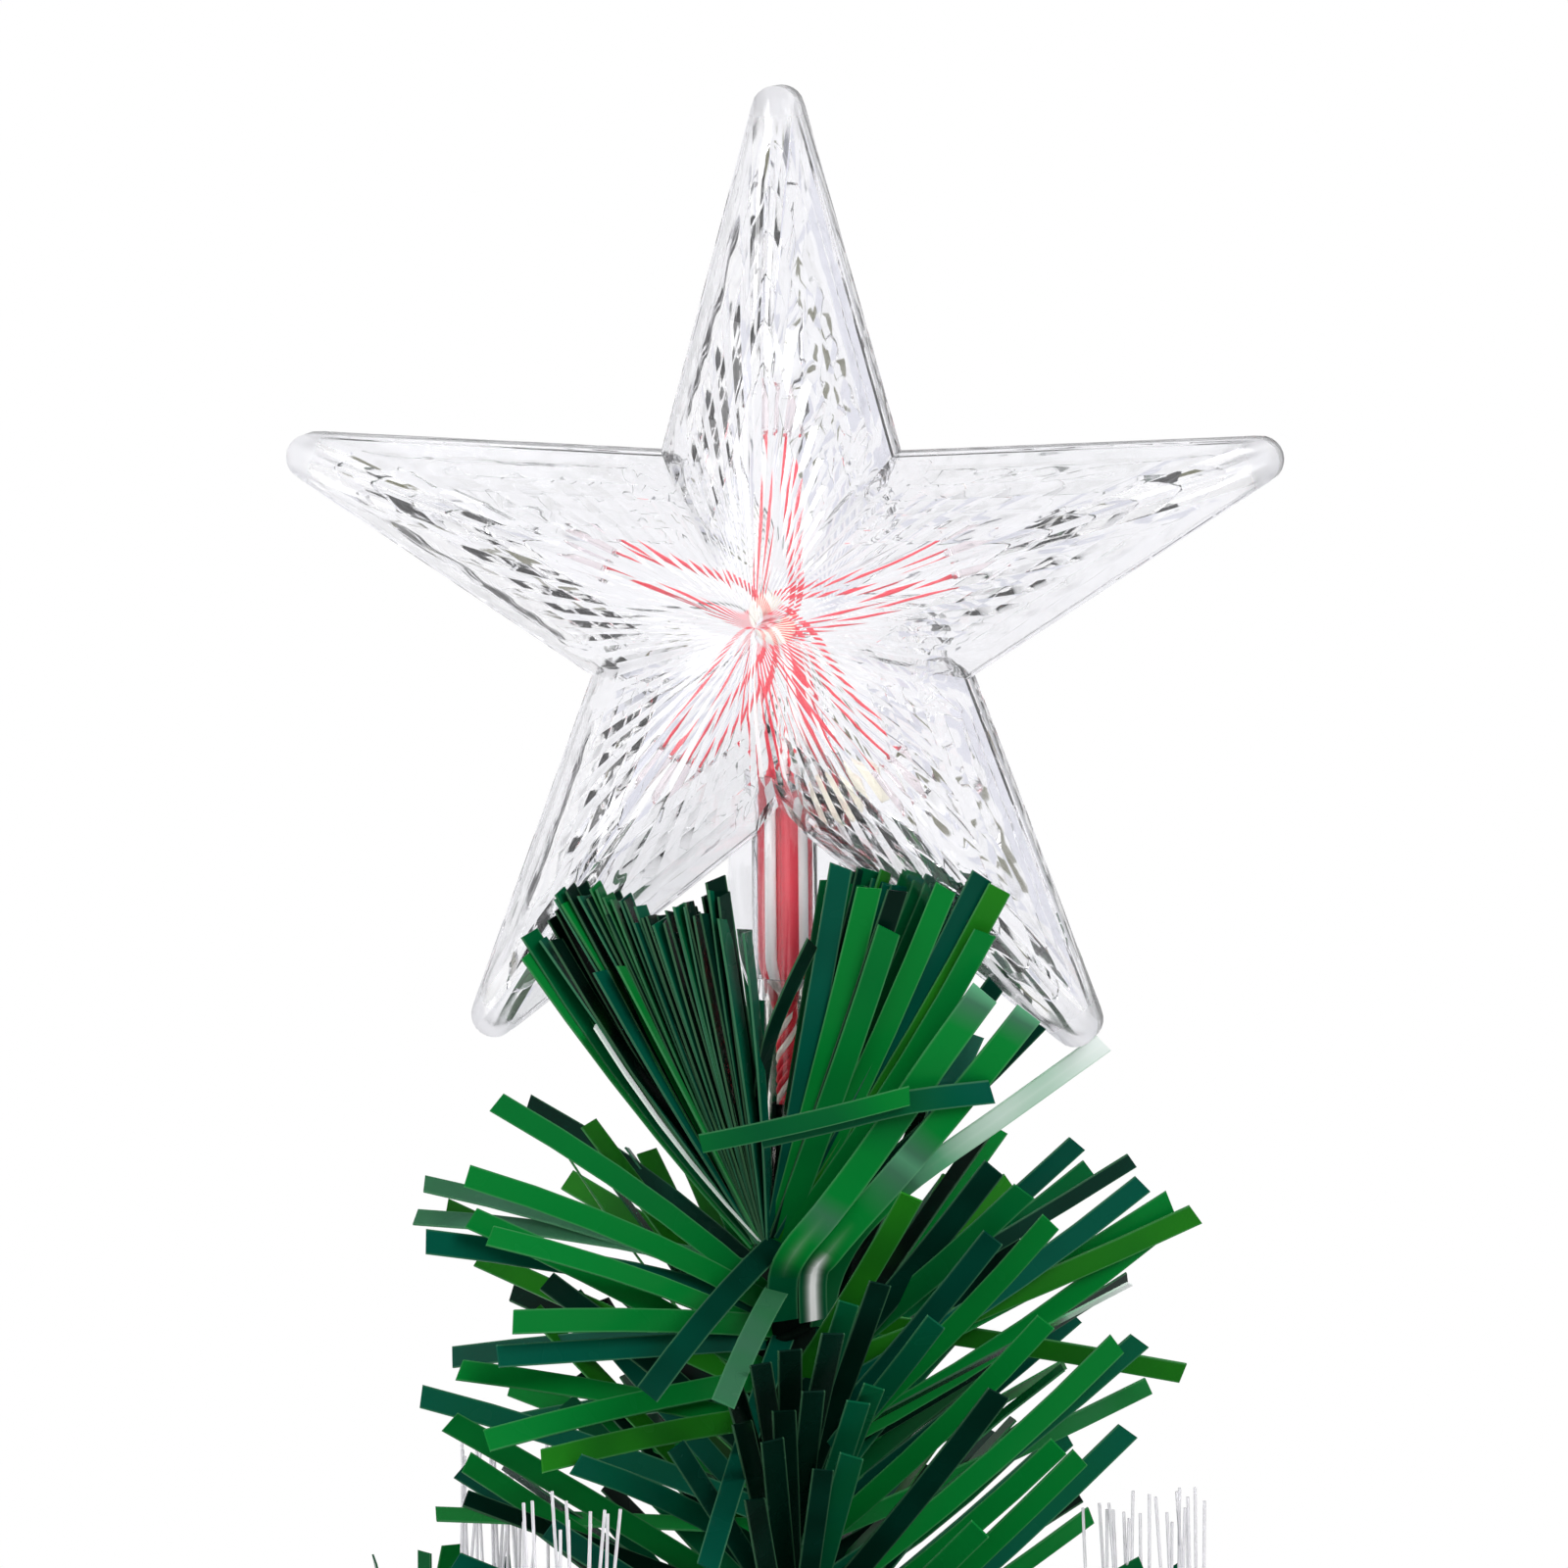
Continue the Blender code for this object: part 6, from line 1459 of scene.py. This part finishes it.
def make_branches(needles, fibres, film):
    """Needles, twisted stems and fibres of every branch, each riding on its own body."""
    tree = bristle_tree()
    strands = strand_tree()
    clear = clear_fibre(fibres.colour)
    tape = taped_wire()
    for tier, count in enumerate(TIER_COUNTS):
        for index in range(count):
            label = f"{tier + 1}_{index + 1}"
            azimuth = TIER_AZIMUTHS[tier] + math.tau * index / count
            stems = branch_lines(tier, azimuth)
            seed = 100 * tier + 10 * index
            source = guides(label, [(line, Vector((0, 0, 1)), 0.1, 1.0) for line in stems])
            green = grow(
                f"branch_needles_{label}", source, tree, spacing=needles.spacing,
                length=needles.branch_length, width=needles.width, thickness=needles.thickness,
                lean=needles.lean, stem=0.0028, seed=seed, material=film
            )
            smooth(green.data, math.radians(50))
            settle(green, f"branch_{label}", "needle_film", f"branch_brush_{label}")
            rng = random.Random(seed + 7)
            fine = []
            if tier == TOP_TIER:
                for number, many, places, tops, sway in TOP_FIBRES[index]:
                    fine += fibre_lines(stems[number], many, places, (-0.10, 0.04), sway, rng, tops)
            else:
                for number, stem in enumerate(stems):
                    many = fibres.count * (2 if number == 0 else 1)
                    fine += fibre_lines(stem, many, (0.35, 1.0), (-0.05, 0.34), (-0.22, 0.22), rng)
            strand = grow(
                f"branch_fibres_{label}", guides(label, fine), strands, radius=fibres.radius, sides=5,
                material=clear
            )
            settle(strand, f"branch_{label}", "clear_fibre")
            paint_node(f"branch_arm_{label}", tape)


# Trunk and base


def make_trunk():
    """Finishes of the trunk, its collars, the pole and the bundle inside."""
    trunk = moulded_plastic("moulded green polypropylene", linear("#123A24"), 0.9, 0.42, 0.6, 0.03)
    for name in ("trunk_tube", "collar_1", "collar_2", "collar_3", "collar_4"):
        paint_node(name, trunk)
    # The pole takes the core's near-black finish, painted shade inside the brush
    paint_node("top_pole", bpy.data.materials["twisted core in painted shade"])
    paint_node("fibre_bundle", clear_fibre(linear("#E9EAF0")))


def screw_tree():
    """Cross-head screws, one on each point, with their heads down."""
    tree, start, end = open_tree(
        "Cross-head screws", (("Radius", "Float"), ("Height", "Float"), ("Material", "Material"))
    )
    add = partial(add_node, tree)
    put = start.outputs
    head = add(
        "GeometryNodeMeshCylinder", {"Vertices": 24, "Radius": put["Radius"], "Depth": put["Height"]}
    )
    long = add(MATH, (put["Radius"], 1.25), operation="MULTIPLY")
    thin = add(MATH, (put["Radius"], 0.26), operation="MULTIPLY")
    arms = add("GeometryNodeJoinGeometry")
    for sides in ({0: long, 1: thin, 2: put["Height"]}, {0: thin, 1: long, 2: put["Height"]}):
        arm = add("GeometryNodeMeshCube", {"Size": add(COMBINE, sides)})
        tree.links.new(arm.outputs[0], arms.inputs[0])
    drop = add(MATH, (put["Height"], -0.5), operation="MULTIPLY")
    lowered = add("GeometryNodeTransform", {"Geometry": arms, "Translation": add(COMBINE, {2: drop})})
    cut = add("GeometryNodeMeshBoolean", {0: head.outputs[0]}, operation="DIFFERENCE")
    tree.links.new(lowered.outputs[0], cut.inputs[1])
    copies = add("GeometryNodeInstanceOnPoints", {"Points": put["Geometry"], "Instance": cut})
    return close_tree(tree, start, end, copies)


def dome_outline(run, rise):
    """Quarter of an ellipse from the cover's rim up to its crown, as (radius, height)."""
    angles = [math.pi / 2 * step / 12 for step in range(13)]
    return [(DOME_MIDDLE + run * math.cos(angle), DOME_FOOT + rise * math.sin(angle)) for angle in angles]


def make_base(settings):
    """Smooth domed cover with its slots and openings, and the finishes of the fittings."""
    cover_material = moulded_plastic("moulded green abs", settings.colour, 0.8, 0.30, 0.46, 0.025)
    outer = [*COVER_NECK, *reversed(dome_outline(0.055, 0.040)), *COVER_RIM]
    inner = [*dome_outline(0.0525, 0.0375), *COVER_BORE]
    cover = from_bm("base_cover", lathe(outer + inner, settings.steps), cover_material)
    vents = bmesh.new()
    for index in range(VENT_COUNT):
        slot_mesh = mesh_of("slot", box_bm((0.060, -0.0012, 0.0405), (0.076, 0.0012, 0.1)))
        slot_mesh.transform(Matrix.Rotation(math.pi / VENT_COUNT + math.tau * index / VENT_COUNT, 4, "Z"))
        vents.from_mesh(slot_mesh)
        bpy.data.meshes.remove(slot_mesh)
    cut_or_join(cover, vents, "DIFFERENCE")
    cut_or_join(cover, rod_bm((-0.02, 0, 0.088), (-0.008, 0, 0.088), 0.0028, 24), "DIFFERENCE")
    cut_or_join(cover, rod_bm((0, 0.0895, 0.022), (0, 0.098, 0.022), 0.005, 24), "DIFFERENCE")
    switch = box_bm((0.0895, -0.0063, 0.0127), (0.098, 0.0063, 0.0313))
    bmesh.ops.rotate(switch, verts=switch.verts, matrix=Matrix.Rotation(math.radians(118), 3, "Z"))
    cut_or_join(cover, switch, "DIFFERENCE")
    cover.data.materials.clear()
    cover.data.materials.append(cover_material)
    smooth(cover.data)
    settle(cover, "base", "base_plastic", "base_shell")
    black = moulded_plastic("moulded black abs", linear("#1B1C1E"), 0.7, 0.35, 0.55, 0.02)
    for name in ("base_floor", "dc_jack", "switch_housing", "clamp_screw", "fibre_ferrule"):
        paint_node(name, black)
    paint_node("foot_ring", moulded_plastic("grey moulded rubber", linear("#3A3B3D"), 1.2, 0.7, 0.9, 0.05))
    steel = zinc_steel()
    for name in ("ballast_plate", "wheel_motor"):
        paint_node(name, steel)
    places = bpy.data.meshes.new("screw places")
    corners = [math.radians(45 + 90 * index) for index in range(4)]
    heads = [(SCREW_CIRCLE * math.cos(turn), SCREW_CIRCLE * math.sin(turn), 0.0037) for turn in corners]
    places.from_pydata(heads, [], [])
    screws = grow("base_screws", places, screw_tree(), radius=0.0028, height=0.0014, material=steel)
    settle(screws, "base", "zinc_steel")
    paint_node("lamp_module", bright_reflector())
    paint_node("colour_wheel", wheel_film())
    paint_node("switch_rocker", wire_insulation("red moulded abs", linear("#B3202C")))


# Stage


def make_floor():
    """Pale floor that keeps the tree's shadow and fades to white far out."""
    bm = bmesh.new()
    bmesh.ops.create_circle(bm, cap_ends=True, segments=96, radius=3.0)
    mesh = mesh_of("floor", bm)
    floor = link("floor", mesh)
    material, tree, shader = new_material("matt white card", Base_Color=linear("#F2F2F2"), Roughness=0.8)
    add = partial(add_node, tree)
    place = add("ShaderNodeNewGeometry")
    distance = add(VECTOR_MATH, {0: place.outputs["Position"]}, operation="LENGTH")
    fade = add(MAP_RANGE, {"Value": distance.outputs["Value"], "From Min": 0.35, "From Max": 1.1})
    path = add("ShaderNodeLightPath")
    camera, through, gloss = (
        path.outputs[f"Is {kind} Ray"] for kind in ("Camera", "Transmission", "Glossy")
    )
    seen = add(MATH, (add(MATH, (camera, through), operation="MAXIMUM"), gloss), operation="MAXIMUM")
    white = add("ShaderNodeEmission", {"Color": (1, 1, 1, 1), "Strength": 1.0})
    mixed = add(
        "ShaderNodeMixShader", {0: add(MATH, (fade, seen), operation="MULTIPLY"), 1: shader, 2: white}
    )
    tree.links.new(mixed.outputs[0], tree.nodes["Material Output"].inputs["Surface"])
    mesh.materials.append(material)


def make_world(strength):
    """White surroundings. Gloss and clear plastic also see a few dark panels, as in a studio."""
    world = bpy.data.worlds.new("studio")
    world.use_nodes = True
    bpy.context.scene.world = world
    tree = world.node_tree
    add = partial(add_node, tree)
    tree.nodes.clear()
    way = add("ShaderNodeTexCoord")
    panels = add(
        "ShaderNodeTexVoronoi", {"Vector": way.outputs["Generated"], "Scale": 7.0, "Randomness": 1.0}
    )
    pick = add("ShaderNodeSeparateColor", {0: panels.outputs["Color"]})
    shades = add("ShaderNodeValToRGB", {"Fac": pick.outputs[0]})
    codes = ((0, "#20242A"), (0.02, "#6B6A4E"), (0.04, "#8E8F96"), (0.07, "#E2E3EC"), (0.18, "#FFFFFF"))
    set_ramp(shades, [(place, linear(code)) for place, code in codes], "CONSTANT")
    path = add("ShaderNodeLightPath")
    height = add("ShaderNodeSeparateXYZ", {0: way.outputs["Generated"]})
    front = add(MATH, (height.outputs[1], -0.45, 0.5), operation="MULTIPLY_ADD")
    level = add(MATH, (height.outputs[2], 0.45, front), operation="MULTIPLY_ADD")
    room = add("ShaderNodeValToRGB", {"Fac": level})
    set_ramp(room, ((0.20, (0.50, 0.50, 0.51)), (0.75, (1, 1, 1))))
    # Clear walls keep the lamps' light from what is inside them, so it comes from here instead
    inside = add(MATH, (path.outputs["Diffuse Depth"], 1.0), operation="MINIMUM")
    front_shade = add(
        MAP_RANGE,
        {"Value": height.outputs[1], "From Min": -0.35, "From Max": 0.05, "To Min": 0.84, "To Max": 1.0}
    )
    inner_light = add(MATH, (inside, 1.8, front_shade), operation="MULTIPLY_ADD")
    seen = add("ShaderNodeBackground", {"Color": shades.outputs["Color"], "Strength": inner_light})
    plain = add("ShaderNodeBackground", {"Color": (1, 1, 1, 1), "Strength": strength})
    white = add("ShaderNodeBackground", {"Color": (1, 1, 1, 1), "Strength": 1.0})
    ceiling = add("ShaderNodeBackground", {"Color": room.outputs["Color"], "Strength": 1.0})
    lit = add("ShaderNodeMixShader", {0: path.outputs["Is Glossy Ray"], 1: plain, 2: ceiling})
    mixed = add("ShaderNodeMixShader", {0: path.outputs["Is Transmission Ray"], 1: lit, 2: seen})
    final = add("ShaderNodeMixShader", {0: path.outputs["Is Camera Ray"], 1: mixed, 2: white})
    add("ShaderNodeOutputWorld", {"Surface": final})


def add_lamp(name, place, target, size, power):
    """Square soft lamp that faces a point."""
    data = bpy.data.lights.new(name, "AREA")
    data.size = size
    data.energy = power
    lamp = bpy.data.objects.new(name, data)
    lamp.location = place
    lamp.rotation_euler = (Vector(target) - Vector(place)).to_track_quat("-Z", "Y").to_euler()
    bpy.context.scene.collection.objects.link(lamp)


def make_camera(stage):
    """Long-lens camera at the photograph's angle."""
    eye, _, right, up, back = camera_axes(stage)
    data = bpy.data.cameras.new("camera")
    data.sensor_width = SENSOR_WIDTH
    data.lens = SENSOR_WIDTH * stage.distance / stage.view_width
    data.clip_end = 50
    camera = bpy.data.objects.new("camera", data)
    camera.location = eye
    camera.rotation_euler = Matrix((right, up, back)).transposed().to_euler()
    bpy.context.scene.collection.objects.link(camera)
    bpy.context.scene.camera = camera


# Operators


class OBJECT_OT_tree_stage(Operator):
    """Make the camera, the lamps, the surroundings and the floor"""

    bl_idname = "object.tree_stage"
    bl_label = "Stage"

    def execute(self, context):
        stage = context.scene.tree_stage
        context.scene.view_settings.view_transform = "Standard"
        make_camera(stage)
        make_floor()
        make_world(stage.ambient)
        add_lamp("key", (1.1, -1.3, 1.9), (0, 0, 0.75), 0.9, stage.key)
        add_lamp("fill", (-1.5, -0.9, 1.0), (0, 0, 0.65), 1.1, stage.fill)
        return {"FINISHED"}


class OBJECT_OT_tree_star(Operator):
    """Make the clear star, its lamps and wires, and the clear tube under it"""

    bl_idname = "object.tree_star"
    bl_label = "Star"

    def execute(self, context):
        settings = context.scene.tree_star
        make_star_shells(settings)
        red = make_star_lamps(settings)
        make_star_wires(settings, red)
        return {"FINISHED"}


class OBJECT_OT_tree_brush(Operator):
    """Make the brush of needle strips round the top pole"""

    bl_idname = "object.tree_brush"
    bl_label = "Top brush"

    def execute(self, context):
        make_top_brush(context.scene.tree_needles, context.scene.tree_stage)
        return {"FINISHED"}


class OBJECT_OT_tree_branches(Operator):
    """Make the needles, stems and fibres of the hinged branches"""

    bl_idname = "object.tree_branches"
    bl_label = "Branches"

    def execute(self, context):
        scene = context.scene
        film = bpy.data.materials["slit green pvc film"]
        make_branches(scene.tree_needles, scene.tree_fibres, film)
        return {"FINISHED"}


class OBJECT_OT_tree_base(Operator):
    """Make the base cover, and finish the trunk and the fittings"""

    bl_idname = "object.tree_base"
    bl_label = "Trunk and base"

    def execute(self, context):
        make_trunk()
        make_base(context.scene.tree_base)
        return {"FINISHED"}


class VIEW3D_PT_tree(Panel):
    bl_label = "Fibre optic tree"
    bl_idname = "VIEW3D_PT_tree"
    bl_space_type = "VIEW_3D"
    bl_region_type = "UI"
    bl_category = "Tree"

    def draw(self, context):
        for operator in OPERATORS:
            self.layout.operator(operator.bl_idname)
        for name in SETTINGS:
            group = getattr(context.scene, name)
            column = self.layout.column(align=True)
            for key in group.bl_rna.properties.keys():
                if key not in ("rna_type", "name"):
                    column.prop(group, key)


SETTINGS = {
    "tree_stage": StageSettings, "tree_star": StarSettings, "tree_needles": NeedleSettings,
    "tree_fibres": FibreSettings, "tree_base": BaseSettings
}
OPERATORS = (
    OBJECT_OT_tree_stage, OBJECT_OT_tree_star, OBJECT_OT_tree_brush, OBJECT_OT_tree_branches,
    OBJECT_OT_tree_base
)


def register():
    for group in SETTINGS.values():
        bpy.utils.register_class(group)
    for name, group in SETTINGS.items():
        setattr(bpy.types.Scene, name, PointerProperty(type=group))
    for item in (*OPERATORS, VIEW3D_PT_tree):
        bpy.utils.register_class(item)


def unregister():
    for item in (VIEW3D_PT_tree, *reversed(OPERATORS)):
        bpy.utils.unregister_class(item)
    for name in SETTINGS:
        delattr(bpy.types.Scene, name)
    for group in reversed(SETTINGS.values()):
        bpy.utils.unregister_class(group)


def main():
    register()
    bpy.ops.object.tree_stage()
    bpy.ops.object.tree_star()
    bpy.ops.object.tree_brush()
    bpy.ops.object.tree_branches()
    bpy.ops.object.tree_base()


if __name__ == "__main__":
    main()
